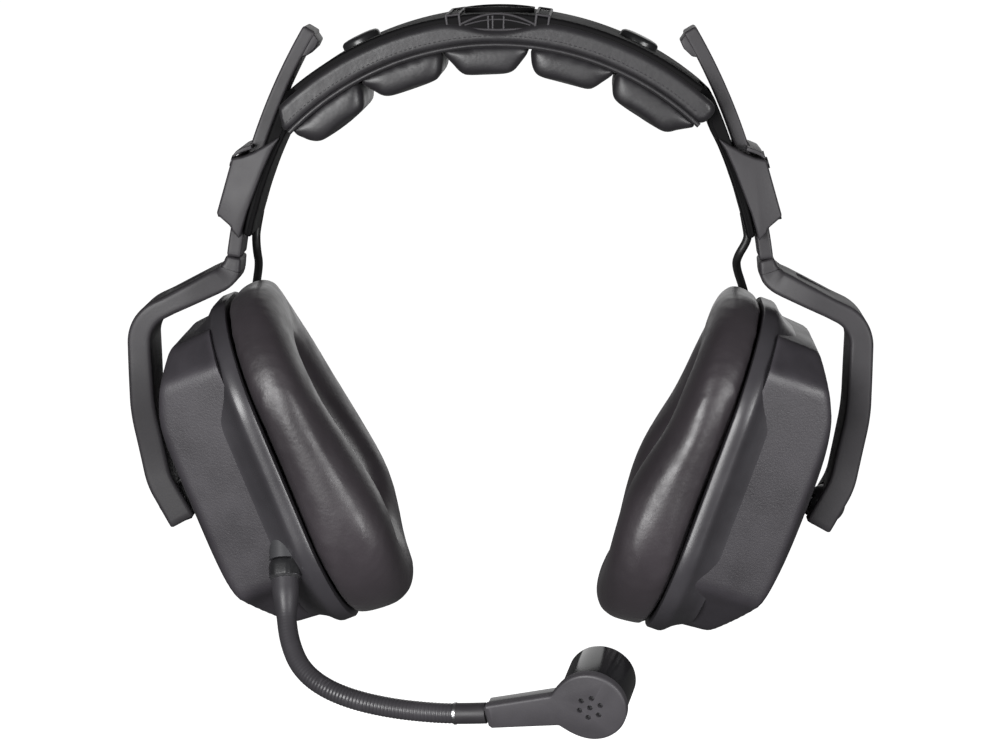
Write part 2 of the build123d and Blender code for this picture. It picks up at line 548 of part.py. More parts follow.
def make_microphone(boom_end, boom_before, end_way):
    wide, narrow = MIC_NECK_HALF
    neck = make_face(Polyline(
        (0, -wide), (MIC_TAIL_LENGTH, -narrow), (MIC_TAIL_LENGTH, narrow), (0, wide), close=True,
    ))
    paddle = Circle(MIC_RADIUS) + neck
    shoulders = paddle.vertices().filter_by(lambda v: 5 < v.X < MIC_RADIUS)
    paddle = fillet(shoulders, 6.0)
    front = extrude(paddle, amount=-MIC_PLATE_DEPTH)
    front = fillet(front.edges().group_by(Axis.Z)[-1], 0.6)
    room = Pos(0, 0, -MIC_PLATE_DEPTH / 2 - MIC_WALL) * Cylinder(MIC_CAN_RADIUS - MIC_WALL, MIC_PLATE_DEPTH)
    front = front - room
    for place in [Location((0, 0, 0))] + list(PolarLocations(MIC_HOLE_RING, 6, start_angle=8)):
        front = front - place * Pos(0, 0, -1) * Cylinder(MIC_HOLE_RADIUS, 6)
    can_depth = MIC_TOTAL_DEPTH - MIC_PLATE_DEPTH
    can_middle = -MIC_PLATE_DEPTH - can_depth / 2
    can = Pos(0, 0, can_middle) * Cylinder(MIC_CAN_RADIUS, can_depth)
    can = fillet(can.edges().group_by(Axis.Z)[0], 1.2)
    can = can + Pos(0, 0, -MIC_NECK_DEPTH) * extrude(neck, amount=MIC_NECK_DEPTH - MIC_PLATE_DEPTH)
    can = can - Pos(0, 0, can_middle + MIC_WALL) * Cylinder(MIC_CAN_RADIUS - MIC_WALL, can_depth)
    foam = Pos(0, 0, -MIC_WALL - 1.0) * Cylinder(MIC_CAN_RADIUS - MIC_WALL - 0.05, 2.0)
    capsule = Pos(0, 0, -MIC_WALL - 4.7) * Cylinder(4.8, 5.2)
    length = (boom_end - boom_before).length
    ferrule = rod(boom_before, end_way, length + 1.0, BOOM_RADIUS + 0.15)
    parts["mic_front"] = largest(MIC_PLANE * front - ferrule)
    parts["mic_back"] = largest(MIC_PLANE * can - ferrule)
    parts["mic_foam"] = MIC_PLANE * foam
    parts["mic_capsule"] = MIC_PLANE * capsule
    parts["mic_ferrule"] = (ferrule - parts["gooseneck_tip"]).solid()


def make_wire_tails():
    """The free stretch of the wire, from the strap's lower end into the top of the cup's rim."""
    held = [Vector(x, WIRE_Y, z) for x, z in (polar(-a, r) for a, r in WIRE_STATIONS[:2])]
    way = (held[0] - held[1]).normalized()
    start = [held[0], held[0] + way * TAIL_LEAD]
    down = [CUP_PLANE.from_local_coords(Vector(*p)) for p in TAIL_ROUTE]
    right_start = [Vector(-p.X, p.Y, p.Z) for p in start]
    right_down = [right_cup_point(*p) for p in TAIL_ROUTE]
    for side, line in (("left", start + down), ("right", right_start + right_down)):
        parts[side + "_wire_tail"] = tube([tuple(p) for p in line], WIRE_RADIUS)
        way = line[-1] - line[-2]
        hole = rod(line[-2], way.normalized(), way.length + 0.3, WIRE_RADIUS + WIRE_CLEARANCE)
        for name in ("_rim_ring", "_cup_shell", "_ear_cushion"):
            parts[side + name] = largest(parts[side + name] - hole)


channel = make_wire()
make_headband(channel)
make_lobes()
make_strap_trim()
make_slider(channel)
make_arm()
make_cup()
make_left_cup_fittings()
make_microphone(*make_boom())
make_wire_tails()

os.makedirs("parts", exist_ok=True)
for name, shape in parts.items():
    export_step(shape, "parts/%s.step" % name)
print(len(parts), "parts written")
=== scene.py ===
import bmesh
import bpy
import json
import numpy as np
from math import copysign, cos, degrees, hypot, pi, radians, sin, sqrt, tan
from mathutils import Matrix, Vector


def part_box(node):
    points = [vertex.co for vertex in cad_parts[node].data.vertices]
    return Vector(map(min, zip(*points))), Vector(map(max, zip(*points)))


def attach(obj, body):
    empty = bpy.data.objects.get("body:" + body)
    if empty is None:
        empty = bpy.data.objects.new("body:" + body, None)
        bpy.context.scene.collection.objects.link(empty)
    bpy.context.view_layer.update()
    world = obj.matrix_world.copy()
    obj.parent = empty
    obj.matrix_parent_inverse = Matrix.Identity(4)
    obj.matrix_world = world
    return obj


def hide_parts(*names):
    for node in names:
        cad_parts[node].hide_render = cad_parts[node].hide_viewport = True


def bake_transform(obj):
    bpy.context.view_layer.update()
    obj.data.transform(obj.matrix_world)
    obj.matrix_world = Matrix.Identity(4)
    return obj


# The looks of a two-cup headset with a gooseneck microphone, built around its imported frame.
# Sizes are in millimetres, in the frame's axes, and become metres where a mesh is made.

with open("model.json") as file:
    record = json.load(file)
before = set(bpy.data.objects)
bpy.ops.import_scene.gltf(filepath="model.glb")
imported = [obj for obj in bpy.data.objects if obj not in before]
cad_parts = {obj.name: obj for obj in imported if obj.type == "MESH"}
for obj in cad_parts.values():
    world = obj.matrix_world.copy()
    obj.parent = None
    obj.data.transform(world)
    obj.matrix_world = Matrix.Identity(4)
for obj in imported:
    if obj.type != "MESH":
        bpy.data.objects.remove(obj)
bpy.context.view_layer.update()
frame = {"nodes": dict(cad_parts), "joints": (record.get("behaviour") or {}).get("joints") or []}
MM = 0.001
joints = {joint["name"]: joint for joint in frame["joints"]}
Y = Vector((0, 1, 0))


def joint_point(name):
    return Vector(joints[name]["pos_m"]) / MM


def joint_axis(name):
    return Vector(joints[name]["axis"]).normalized()


# ---------------------------------------------------------------- driving dimensions
HEAD_RADIUS = 78.5
SEAM_RADIUS = 87.0
COVER_RADIUS = 95.4
CROWN_DIP = 3.5
LUG_DROP = 2.6
STRAP_RADIUS = 97.0
PAD_START, PAD_END = -46.2, 44.0
PAD_HALF_DEPTH = 22.3
STRAP_HALF_DEPTH = 20.8
TAIL_HALF_DEPTH = 13.4
STRAP_END_ANGLE = 69.5
LOBES = 5
LOBE_ANGLE = 17.6
LOBE_TURN = -2.3
LOBE_FOOT_ANGLE = 5.6
LOBE_STEEP = 1.5
BUTTON_ANGLE = 25.8
BUTTON = (6.2, 5.6)
OPENING = (9.3, 7.3)
CLIP_ANGLE, CLIP_HALF_ANGLE = 8.0, 1.15
CLIP_WIRE_RADIUS = 0.42
STRIP_RADIUS = 185.0
STRIP_THICKNESS = 4.3
STRIP_HALF_WIDTH = 8.0
STRIP_LENGTH = 75.5
STRIP_FOOT_ANGLE = 7.6
HOUSING_HALF_DEPTH = 15.3
HOUSING_OUTLINE = [
    (-81.1, -25.8), (-86.1, -42.8), (-81.8, -46.6), (-81.5, -47.8), (-79.2, -50.4), (-78.1, -46.5),
    (-76.7, -42.1), (-74.6, -36.7), (-71.8, -29.6), (-68.7, -22.9), (-66.4, -19.2), (-71.0, -21.9),
    (-74.4, -23.8), (-77.8, -25.1),
]
LIP_OUTLINE = [
    (-81.1, -25.2), (-79.7, -23.4), (-77.6, -22.5), (-75.2, -21.7), (-75.0, -22.9), (-77.5, -23.7),
    (-79.3, -24.5), (-80.3, -25.3),
]
PIVOT_HEIGHT = 41.0
RIM_LENGTH = 107.0
RIM_DEPTH = 84.0
RIM_CORNER = 34.0
RIM_THICKNESS = 5.5
SHELL_HALF_LENGTH = 48.5
SHELL_HALF_DEPTH = 38.5
SHELL_END_DRAFT = 3.5
SHELL_SIDE_DRAFT = 12.5
SHELL_WALL = 2.4
SHELL_FLAT_TOP, SHELL_FLAT_FOOT = 0.72, 0.46
CUP_HEIGHT = 35.0
DOME_RADIUS_ALONG = 79.5
DOME_RADIUS_ACROSS = 110.0
CUSHION_OPENING = (66.0, 34.0, 16.0)
CUSHION_REAR_DROP = 3.6
BOOM_RADIUS = 3.0
BAND = Vector((0, 0, -HEAD_RADIUS))
SIDES = {"left": -1, "right": 1}


# ---------------------------------------------------------------- camera, light, floor
def add_object(name, data):
    obj = bpy.data.objects.new(name, data)
    bpy.context.scene.collection.objects.link(obj)
    return obj


def settle(node, values):
    """Sets a node's sockets to plain values."""
    for socket, value in values.items():
        node.inputs[socket].default_value = value


def look_at(obj, target):
    obj.rotation_euler = (Vector(target) - obj.location).to_track_quat("-Z", "Y").to_euler()


def make_stage():
    """Camera, lights and floor, placed in metres."""
    azimuth, elevation, distance = radians(2.0), radians(10.0), 0.88
    target = Vector((0, 0, -0.0947))
    data = bpy.data.cameras.new("camera")
    data.sensor_width = 36.0
    data.lens = 101.4
    camera = add_object("camera", data)
    level = cos(elevation)
    back = Vector((sin(azimuth) * level, -cos(azimuth) * level, sin(elevation)))
    camera.location = target + back * distance
    look_at(camera, target)
    bpy.context.scene.camera = camera
    bpy.context.scene.view_settings.view_transform = "Standard"
    for name, spot, size, power in (
        ("key_light", (-0.45, -1.05, 0.02), 0.55, 15.0),
        ("fill_light", (0.70, -0.95, -0.05), 0.5, 9.0),
        ("back_light", (0.1, 0.9, 0.2), 0.9, 2.0),
    ):
        light = bpy.data.lights.new(name, "AREA")
        light.shape = "DISK"
        light.size = size
        light.energy = power
        lamp = add_object(name, light)
        lamp.location = spot
        look_at(lamp, target)
    world = bpy.data.worlds.new("studio")
    world.use_nodes = True
    settle(world.node_tree.nodes["Background"], {"Color": (1, 1, 1, 1), "Strength": 0.06})
    bpy.context.scene.world = world
    make_floor()


def make_floor():
    """A pale floor, bright enough to stay white, that throws no light up onto the object."""
    mesh = bpy.data.meshes.new("floor")
    reach, height = 40.0, -0.5
    mesh.from_pydata([(-reach, -reach, height), (reach, -reach, height), (reach, reach, height),
                      (-reach, reach, height)], [], [(0, 1, 2, 3)])
    floor = add_object("floor", mesh)
    paint = bpy.data.materials.new("floor_paint")
    paint.use_nodes = True
    shader = paint.node_tree.nodes["Principled BSDF"]
    settle(shader, {
        "Base Color": (0.93, 0.93, 0.93, 1), "Roughness": 0.9, "Emission Color": (1, 1, 1, 1),
        "Emission Strength": 1.0,
    })
    mesh.materials.append(paint)
    floor.visible_diffuse = False
    floor.visible_glossy = False


# ---------------------------------------------------------------- materials
def new_material(name):
    material = bpy.data.materials.new(name)
    material.use_nodes = True
    tree = material.node_tree
    return material, tree, tree.nodes["Principled BSDF"]


def noise(tree, scale, detail=3.0, rough=0.5, stretch=None):
    coords = tree.nodes.new("ShaderNodeTexCoord")
    node = tree.nodes.new("ShaderNodeTexNoise")
    settle(node, {"Scale": scale, "Detail": detail, "Roughness": rough})
    source = coords.outputs["Object"]
    if stretch:
        mapping = tree.nodes.new("ShaderNodeMapping")
        mapping.inputs["Scale"].default_value = stretch
        tree.links.new(source, mapping.inputs["Vector"])
        source = mapping.outputs["Vector"]
    tree.links.new(source, node.inputs["Vector"])
    return node


def ramp(tree, source, stops):
    node = tree.nodes.new("ShaderNodeValToRGB")
    elements = node.color_ramp.elements
    while len(elements) < len(stops):
        elements.new(0.5)
    for element, (position, colour) in zip(elements, stops):
        element.position = position
        element.color = (*colour, 1) if len(colour) == 3 else colour
    tree.links.new(source, node.inputs["Fac"])
    return node


def drive(tree, socket, source, stops):
    tree.links.new(ramp(tree, source, stops).outputs["Color"], socket)


def tint(tree, shader, source, colour, dark, light, start=0.3, end=0.7):
    """Varies the base colour between a darker and a lighter shade of it."""
    stops = [(start, shade(colour, dark)), (end, shade(colour, light))]
    drive(tree, shader.inputs["Base Color"], source, stops)


def roughen(tree, shader, source, low, high):
    drive(tree, shader.inputs["Roughness"], source, [(0.3, (low,) * 3), (0.7, (high,) * 3)])


def shade(colour, factor):
    return tuple(min(1.0, c * factor) for c in colour)


def bump(tree, shader, heights):
    """Chained bumps; heights is a list of (height socket, strength, distance in mm)."""
    previous = None
    for socket, strength, distance in heights:
        node = tree.nodes.new("ShaderNodeBump")
        node.inputs["Strength"].default_value = strength
        node.inputs["Distance"].default_value = distance * MM
        tree.links.new(socket, node.inputs["Height"])
        if previous:
            tree.links.new(previous, node.inputs["Normal"])
        previous = node.outputs["Normal"]
    tree.links.new(previous, shader.inputs["Normal"])


def moulded(name, colour, rough=0.45, grain=1400.0, depth=0.05, vary=0.15, edge_highlight=0.35, gloss=0.5):
    """Moulded plastic with a spark-eroded grain, slow colour change and a painted highlight that pales its
    sharp edges.
    """
    material, tree, shader = new_material(name)
    fine = noise(tree, grain, 2.0, 0.6)
    slow = noise(tree, 60.0, 4.0, 0.55)
    tones = ramp(tree, slow.outputs["Fac"], [(0.3, shade(colour, 1 - vary)), (0.7, shade(colour, 1 + vary))])
    # painted highlight: convex edges, found by pointiness, are lightened towards 2.6 times the colour
    geometry = tree.nodes.new("ShaderNodeNewGeometry")
    edge = ramp(tree, geometry.outputs["Pointiness"], [(0.515, (0, 0, 0)), (0.62, (edge_highlight, edge_highlight, edge_highlight))])
    mix = tree.nodes.new("ShaderNodeMix")
    mix.data_type = "RGBA"
    tree.links.new(edge.outputs["Color"], mix.inputs["Factor"])
    tree.links.new(tones.outputs["Color"], mix.inputs["A"])
    mix.inputs["B"].default_value = (*shade(colour, 2.6), 1)
    tree.links.new(mix.outputs["Result"], shader.inputs["Base Color"])
    shader.inputs["Specular IOR Level"].default_value = gloss
    drive(tree, shader.inputs["Roughness"], slow.outputs["Fac"],
          [(0.25, (rough - 0.06,) * 3), (0.75, (rough + 0.08,) * 3)])
    bump(tree, shader, [(slow.outputs["Fac"], 0.08, 0.4), (fine.outputs["Fac"], 0.5, depth)])
    return material


def leather(name, colour, rough=0.42, cell=900.0, crease=160.0):
    """Soft leatherette: fine pebble cells, shallow creases and a gentle sheen."""
    material, tree, shader = new_material(name)
    coords = tree.nodes.new("ShaderNodeTexCoord")
    cells = tree.nodes.new("ShaderNodeTexVoronoi")
    cells.inputs["Scale"].default_value = cell
    tree.links.new(coords.outputs["Object"], cells.inputs["Vector"])
    creases = noise(tree, crease, 5.0, 0.6)
    slow = noise(tree, 35.0, 3.0, 0.5)
    tint(tree, shader, slow.outputs["Fac"], colour, 0.82, 1.2)
    roughen(tree, shader, creases.outputs["Fac"], rough - 0.05, rough + 0.1)
    settle(shader, {"Sheen Weight": 0.04, "Sheen Roughness": 0.45})
    bump(tree, shader, [(creases.outputs["Fac"], 0.25, 0.35), (cells.outputs["Distance"], 0.35, 0.06)])
    return material


def metal(name, colour, rough=0.3, brushed=(1, 1, 14)):
    material, tree, shader = new_material(name)
    streaks = noise(tree, 350.0, 3.0, 0.6, brushed)
    shader.inputs["Metallic"].default_value = 1.0
    tint(tree, shader, streaks.outputs["Fac"], colour, 0.8, 1.15)
    roughen(tree, shader, streaks.outputs["Fac"], rough - 0.05, rough + 0.12)
    bump(tree, shader, [(streaks.outputs["Fac"], 0.15, 0.03)])
    return material


def woven(name, colour):
    """A fine plain weave, as two crossed waves."""
    material, tree, shader = new_material(name)
    coords = tree.nodes.new("ShaderNodeTexCoord")
    waves = []
    for direction in ("Y", "Z"):
        wave = tree.nodes.new("ShaderNodeTexWave")
        wave.bands_direction = direction
        wave.inputs["Scale"].default_value = 420.0
        tree.links.new(coords.outputs["Object"], wave.inputs["Vector"])
        waves.append(wave)
    tint(tree, shader, waves[0].outputs["Fac"], colour, 0.6, 1.4, 0.2, 0.8)
    settle(shader, {"Roughness": 0.9, "Sheen Weight": 0.3})
    bump(tree, shader, [(waves[0].outputs["Fac"], 0.5, 0.2), (waves[1].outputs["Fac"], 0.5, 0.2)])
    return material


def foam(name, colour):
    material, tree, shader = new_material(name)
    pores = noise(tree, 1500.0, 4.0, 0.7)
    tint(tree, shader, pores.outputs["Fac"], colour, 0.3, 1.3, 0.35, 0.6)
    shader.inputs["Roughness"].default_value = 0.95
    bump(tree, shader, [(pores.outputs["Fac"], 0.8, 0.3)])
    return material


MATERIALS = {
    # strap: its own black plastic, made darker still as painted shade
    "strap": moulded("strap_plastic", (0.004, 0.0038, 0.0042), rough=0.62, gloss=0.08, edge_highlight=0.1),
    "black": moulded("black_plastic", (0.029, 0.027, 0.030), rough=0.50, gloss=0.38),
    "cup": moulded("cup_plastic", (0.034, 0.031, 0.036), rough=0.42, grain=1700.0, depth=0.10, vary=0.2),
    "rim": moulded("rim_plastic", (0.034, 0.032, 0.036), rough=0.34, depth=0.03),
    "leather": leather("leatherette", (0.033, 0.028, 0.032), rough=0.38),
    # painted shade: a darker copy of the cushions' leatherette, used on the headband pad
    "pad_leather": leather("pad_leatherette", (0.016, 0.015, 0.017), rough=0.42),
    "thread": moulded("thread", (0.012, 0.011, 0.013), rough=0.6),
    "foam": foam("foam", (0.05, 0.05, 0.052)),
    "scrim": woven("scrim_cloth", (0.012, 0.012, 0.013)),
    "wire": moulded("wire_rubber", (0.012, 0.012, 0.012), rough=0.38, depth=0.02),
    "gooseneck": moulded("gooseneck_rubber", (0.036, 0.034, 0.038), rough=0.36, depth=0.02),
    "steel": metal("spring_steel", (0.45, 0.45, 0.46)),
    "screw": metal("screw_steel", (0.10, 0.10, 0.105), rough=0.35),
    "chrome": metal("chrome_stud", (0.75, 0.75, 0.77), rough=0.12),
    "nylon": moulded("bush_nylon", (0.04, 0.04, 0.04), rough=0.4),
    "gland": moulded("gland_metal", (0.03, 0.03, 0.032), rough=0.4, depth=0.02),
    "bright": metal("boom_ring_metal", (0.55, 0.55, 0.57), rough=0.25),
    "nut": moulded("boom_nut_plastic", (0.014, 0.014, 0.015), rough=0.28),
    "board": moulded("board", (0.03, 0.12, 0.06), rough=0.4),
    "magnet": metal("magnet_metal", (0.4, 0.4, 0.41)),
    "film": moulded("diaphragm_film", (0.5, 0.48, 0.42), rough=0.25),
    "mic": moulded("mic_matte", (0.048, 0.045, 0.050), rough=0.5, grain=1900.0, depth=0.08),
    "mic_gloss": moulded("mic_gloss", (0.012, 0.012, 0.013), rough=0.16, depth=0.01, gloss=0.7),
}


# ---------------------------------------------------------------- mesh tools
def build(name, verts, faces, material, smooth=35.0):
    """A mesh object from points in millimetres, with its faces turned outwards."""
    mesh = bpy.data.meshes.new(name)
    mesh.from_pydata([tuple(c * MM for c in v) for v in verts], [], faces)
    work = bmesh.new()
    work.from_mesh(mesh)
    bmesh.ops.recalc_face_normals(work, faces=work.faces)
    work.to_mesh(mesh)
    work.free()
    obj = add_object(name, mesh)
    mesh.materials.append(MATERIALS[material])
    soften(obj, smooth)
    return obj


def soften(obj, angle=35.0):
    obj.data.shade_smooth()
    obj.data.set_sharp_from_angle(angle=radians(angle))


def bake(obj):
    """Applies the object's modifiers to its mesh."""
    graph = bpy.context.evaluated_depsgraph_get()
    mesh = bpy.data.meshes.new_from_object(obj.evaluated_get(graph), depsgraph=graph)
    obj.modifiers.clear()
    obj.data = mesh
    return obj


def cut(obj, cutter):
    modifier = obj.modifiers.new("cut", "BOOLEAN")
    modifier.operation = "DIFFERENCE"
    modifier.solver = "EXACT"
    modifier.object = cutter
    bake(obj)
    bpy.data.objects.remove(cutter)
    soften(obj)
    return obj


def join(name, objs):
    work = bmesh.new()
    materials = []
    for obj in objs:
        offset = len(work.faces)
        work.from_mesh(obj.data)
        work.faces.ensure_lookup_table()
        for material in obj.data.materials:
            if material not in materials:
                materials.append(material)
        index = materials.index(obj.data.materials[0])
        for face in list(work.faces)[offset:]:
            face.material_index = index
    mesh = bpy.data.meshes.new(name)
    work.to_mesh(mesh)
    work.free()
    for material in materials:
        mesh.materials.append(material)
    for obj in objs:
        bpy.data.objects.remove(obj)
    joined = add_object(name, mesh)
    soften(joined)
    return joined


def loft(rings, around=False, caps=True):
    """Faces through rings of equal point count; around joins the last ring to the first."""
    count = len(rings[0])
    verts = [point for ring in rings for point in ring]
    faces = []
    spans = len(rings) if around else len(rings) - 1
    for i in range(spans):
        a, b = i * count, ((i + 1) % len(rings)) * count
        for j in range(count):
            k = (j + 1) % count
            faces.append((a + j, a + k, b + k, b + j))
    if caps and not around:
        faces.append(tuple(reversed(range(count))))
        faces.append(tuple(range(len(verts) - count, len(verts))))
    return verts, faces


def rounded(half_u, half_v, corner, steps=5, fill=3):
    """Points of a rounded rectangle, with fill points along each straight side."""
    corner = min(corner, half_u, half_v)
    points = []
    for number in range(4):
        cu = (half_u - corner) * (1 if number in (0, 3) else -1)
        cv = (half_v - corner) * (1 if number in (0, 1) else -1)
        for step in range(steps + 1):
            angle = radians(90 * number + 90 * step / steps)
            points.append((cu + corner * cos(angle), cv + corner * sin(angle)))
    result = []
    for i, (u, v) in enumerate(points):
        result.append((u, v))
        nu, nv = points[(i + 1) % len(points)]
        if (i + 1) % (steps + 1) == 0:
            for k in range(1, fill + 1):
                share = k / (fill + 1)
                result.append((u + (nu - u) * share, v + (nv - v) * share))
    return result


def bar(stations, corner, cap=1.0, steps=5, fill=3):
    """A bar through stations (centre, across, up, half across, half up) with rounded edges and ends."""
    def ring(centre, across, up, half_across, half_up, inset=0.0, shift=Vector((0, 0, 0))):
        outline = rounded(half_across - inset, half_up - inset, max(corner - inset, 0.05), steps, fill)
        return [centre + shift + across * u + up * v for u, v in outline]

    def end(first, second):
        way = (second[0] - first[0]).normalized()
        found = []
        for step in range(steps):
            angle = radians(90 * step / steps)
            inset = min(cap * (1 - sin(angle)), first[4] * 0.9)
            found.append(ring(*first, inset, way * cap * (1 - cos(angle))))
        return found

    rings = end(stations[0], stations[1])
    for station in stations:
        clear = min((station[0] - stations[0][0]).length, (station[0] - stations[-1][0]).length)
        if clear >= cap * 0.98:
            rings.append(ring(*station))
    return loft(rings + end(stations[-1], stations[-2])[::-1])


def place(piece, body, slot, *replaced):
    """Hangs a piece on a body and hides the frame's nodes that it stands for; slot is not used."""
    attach(piece, body)
    if replaced:
        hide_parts(*replaced)


def polar(angle, radius, y=0.0, centre=BAND):
    """Point at an angle from straight up, positive to the right, about an arc's centre."""
    turn = radians(angle)
    return Vector((centre.x + radius * sin(turn), y, centre.z + radius * cos(turn)))


def radial(angle):
    """Unit vector at an angle from straight up, positive to the right."""
    turn = radians(angle)
    return Vector((sin(turn), 0, cos(turn)))


def arc_stations(centre, radius, start, end, half_across, half_up, step=1.0):
    """Stations along an arc, for a bar of one section."""
    count = max(2, int(abs(end - start) * radians(1) * radius / step))
    found = []
    for i in range(count + 1):
        angle = start + (end - start) * i / count
        found.append((polar(angle, radius, 0, centre), Y, radial(angle), half_across, half_up))
    return found


def prism(name, outline, low, high, material, bevel=0.8, segments=3):
    """A front-plane outline of (x, z) points with a depth in y, its edges rounded."""
    count = len(outline)
    verts = [Vector((x, low, z)) for x, z in outline] + [Vector((x, high, z)) for x, z in outline]
    faces = [tuple(range(count)), tuple(reversed(range(count, 2 * count)))]
    faces += [(i, (i + 1) % count, count + (i + 1) % count, count + i) for i in range(count)]
    obj = build(name, verts, faces, material)
    if bevel:
        modifier = obj.modifiers.new("edges", "BEVEL")
        modifier.width = bevel * MM
        modifier.segments = segments
        modifier.limit_method = "ANGLE"
        modifier.angle_limit = radians(28)
        bake(obj)
        soften(obj)
    return obj


def turns(count):
    """Even angles round a full circle, in radians."""
    return [2 * pi * k / count for k in range(count)]


def quarter(count):
    """The first angles of a quarter circle in steps of 15 degrees, in radians."""
    return [radians(15 * k) for k in range(count)]


def lathe(name, origin, axis, profile, material, count=48, smooth=35.0, closed=False):
    """Turns a profile of (distance along, radius) about an axis."""
    way = axis.normalized()
    side = way.orthogonal().normalized()
    other = way.cross(side)
    round_it = [side * cos(t) + other * sin(t) for t in turns(count)]
    rings = [[origin + way * along + spoke * radius for spoke in round_it] for along, radius in profile]
    verts, faces = loft(rings, around=closed, caps=not closed)
    return build(name, verts, faces, material, smooth)


def resample(points, count, closed=False):
    """Evenly spaced points along a line, or round a closed one."""
    points = np.array(points + [points[0]] if closed else points)
    lengths = np.concatenate([[0], np.cumsum(np.linalg.norm(np.diff(points, axis=0), axis=1))])
    even = np.linspace(0, lengths[-1], count, endpoint=not closed)
    return [[np.interp(s, lengths, column) for column in points.T] for s in even], lengths[-1]


def spline_line(points, count):
    """Even points on the NURBS line that the control points give."""
    data = bpy.data.curves.new("line", "CURVE")
    data.dimensions = "3D"
    data.resolution_u = 24
    spline = data.splines.new("NURBS")
    spline.points.add(len(points) - 1)
    for item, point in zip(spline.points, points):
        item.co = (*(c * MM for c in point), 1)
    spline.order_u = 3
    spline.use_endpoint_u = True
    obj = add_object("line", data)
    graph = bpy.context.evaluated_depsgraph_get()
    mesh = bpy.data.meshes.new_from_object(obj.evaluated_get(graph))
    line = [tuple(v.co / MM) for v in mesh.vertices]
    bpy.data.objects.remove(obj)
    bpy.data.meshes.remove(mesh)
    even, length = resample(line, count)
    return [Vector(point) for point in even], length


def pipe(name, line, radius, material, count=24, closed_ends=True, smooth=60.0):
    """A round tube along a line of points; radius may be a function of the share of its length."""
    rings = []
    way = (line[1] - line[0]).normalized()
    side = way.orthogonal().normalized()
    for i, point in enumerate(line):
        ahead = line[min(i + 1, len(line) - 1)] - line[max(i - 1, 0)]
        way = ahead.normalized()
        side = (side - way * side.dot(way)).normalized()
        other = way.cross(side)
        size = radius(i / (len(line) - 1)) if callable(radius) else radius
        rings.append([point + (side * cos(t) + other * sin(t)) * size for t in turns(count)])
    verts, faces = loft(rings, caps=closed_ends)
    return build(name, verts, faces, material, smooth)


# ---------------------------------------------------------------- places taken from the frame
STRIP_CENTRES = {side: joint_point(side + "_height") for side in SIDES}
PIVOTS = {side: joint_point(side + "_tilt") for side in SIDES}
UPS = {side: joint_axis(side + "_swivel") for side in SIDES}
OUTS = {side: (UPS[side].cross(Y) if side == "left" else Y.cross(UPS[side])).normalized() for side in SIDES}
CUP_BASES = {side: PIVOTS[side] - OUTS[side] * PIVOT_HEIGHT for side in SIDES}


def cup_point(side, a, b, c):
    """A point given up the cup, to the rear and outwards from the cushion seam."""
    return CUP_BASES[side] + UPS[side] * a + Y * b + OUTS[side] * c


def strip_angle(side, length):
    """Angle from straight up about the strip's centre, of a point so far above its foot."""
    return SIDES[side] * (90 - STRIP_FOOT_ANGLE - degrees(length / STRIP_RADIUS))


def strap_limit(angle):
    """Radius about the band's centre at which the strap meets the slider strip's clearance."""
    reach = STRIP_RADIUS - STRIP_THICKNESS / 2 - 0.45
    centre = STRIP_CENTRES["left"]
    turn = radians(-abs(angle))
    dx, dz = sin(turn), cos(turn)
    px, pz = BAND.x - centre.x, BAND.z - centre.z
    half = px * dx + pz * dz
    return -half + sqrt(max(half * half - (px * px + pz * pz - reach * reach), 0.0))


def smoothstep(low, high, value):
    share = min(1.0, max(0.0, (value - low) / (high - low)))
    return share * share * (3 - 2 * share)


# ---------------------------------------------------------------- headband
def cover_outer(angle):
    """Outer radius of the pad's cover, which dips under the bridge at the crown."""
    return COVER_RADIUS - CROWN_DIP * (1 - smoothstep(0.0, 11.0, abs(angle)))


def cover_top(angle):
    """Outer radius of the cover, kept below the slider strip and, at its end, below the strip's stop lug."""
    drop = LUG_DROP * (1 - smoothstep(PAD_START + 0.8, PAD_START + 2.6, angle))
    return min(cover_outer(angle), strap_limit(angle) - 0.1 - drop)


def strap_inner(angle):
    """Inner radius of the strap: flat on the pad, then down inside the slider to its lower end."""
    a = abs(angle)
    if a <= 40.0:
        return cover_outer(angle) - 1.0
    table = [(40, COVER_RADIUS - 1.0), (46, 88.8), (52, 86.3), (57, 84.4), (63, 82.5), (69.5, 81.0)]
    return float(np.interp(a, *zip(*table)))


def strap_outer(angle):
    return min(STRAP_RADIUS, strap_limit(angle))


def strap_depth(angle):
    return STRAP_HALF_DEPTH - (STRAP_HALF_DEPTH - TAIL_HALF_DEPTH) * smoothstep(39.0, 42.5, abs(angle))


def make_strap():
    stations = []
    count = 180
    for i in range(count + 1):
        angle = -STRAP_END_ANGLE + 2 * STRAP_END_ANGLE * i / count
        low, high = strap_inner(angle), strap_outer(angle)
        up = radial(angle)
        stations.append((polar(angle, (low + high) / 2), Y, up, strap_depth(angle), (high - low) / 2))
    verts, faces = bar(stations, 0.8, 0.8, steps=4, fill=8)
    strap = build("outer_strap_skin", verts, faces, "strap")
    # the lens-shaped opening at the crown
    rings = [[Vector((OPENING[0] * cos(t), OPENING[1] * sin(t), z)) for t in turns(64)] for z in (10, 24)]
    cut(strap, build("opening", *loft(rings), "strap"))
    for side, sign in SIDES.items():
        stop = strip_stations(side, 38.0, 72, STRIP_HALF_WIDTH + 0.6, 7.75, STRIP_RADIUS + 3.0)
        cut(strap, build("lug_room", *bar(stop, 0.6, 0.6), "strap"))
        # the line along the tail's side, where its inner lining meets the strap
        for face in (-1, 1):
            line = [polar(sign * a, strap_inner(a) + 1.15, face * TAIL_HALF_DEPTH)
                    for a in np.linspace(45, 69, 40)]
            cut(strap, pipe("lining_line", line, 0.3, "strap", 8))
    place(strap, "headband", "strap_plastic", "outer_strap")


def make_strap_trim():
    for side, sign in SIDES.items():
        make_button(side, sign)
        make_clip(side, sign)


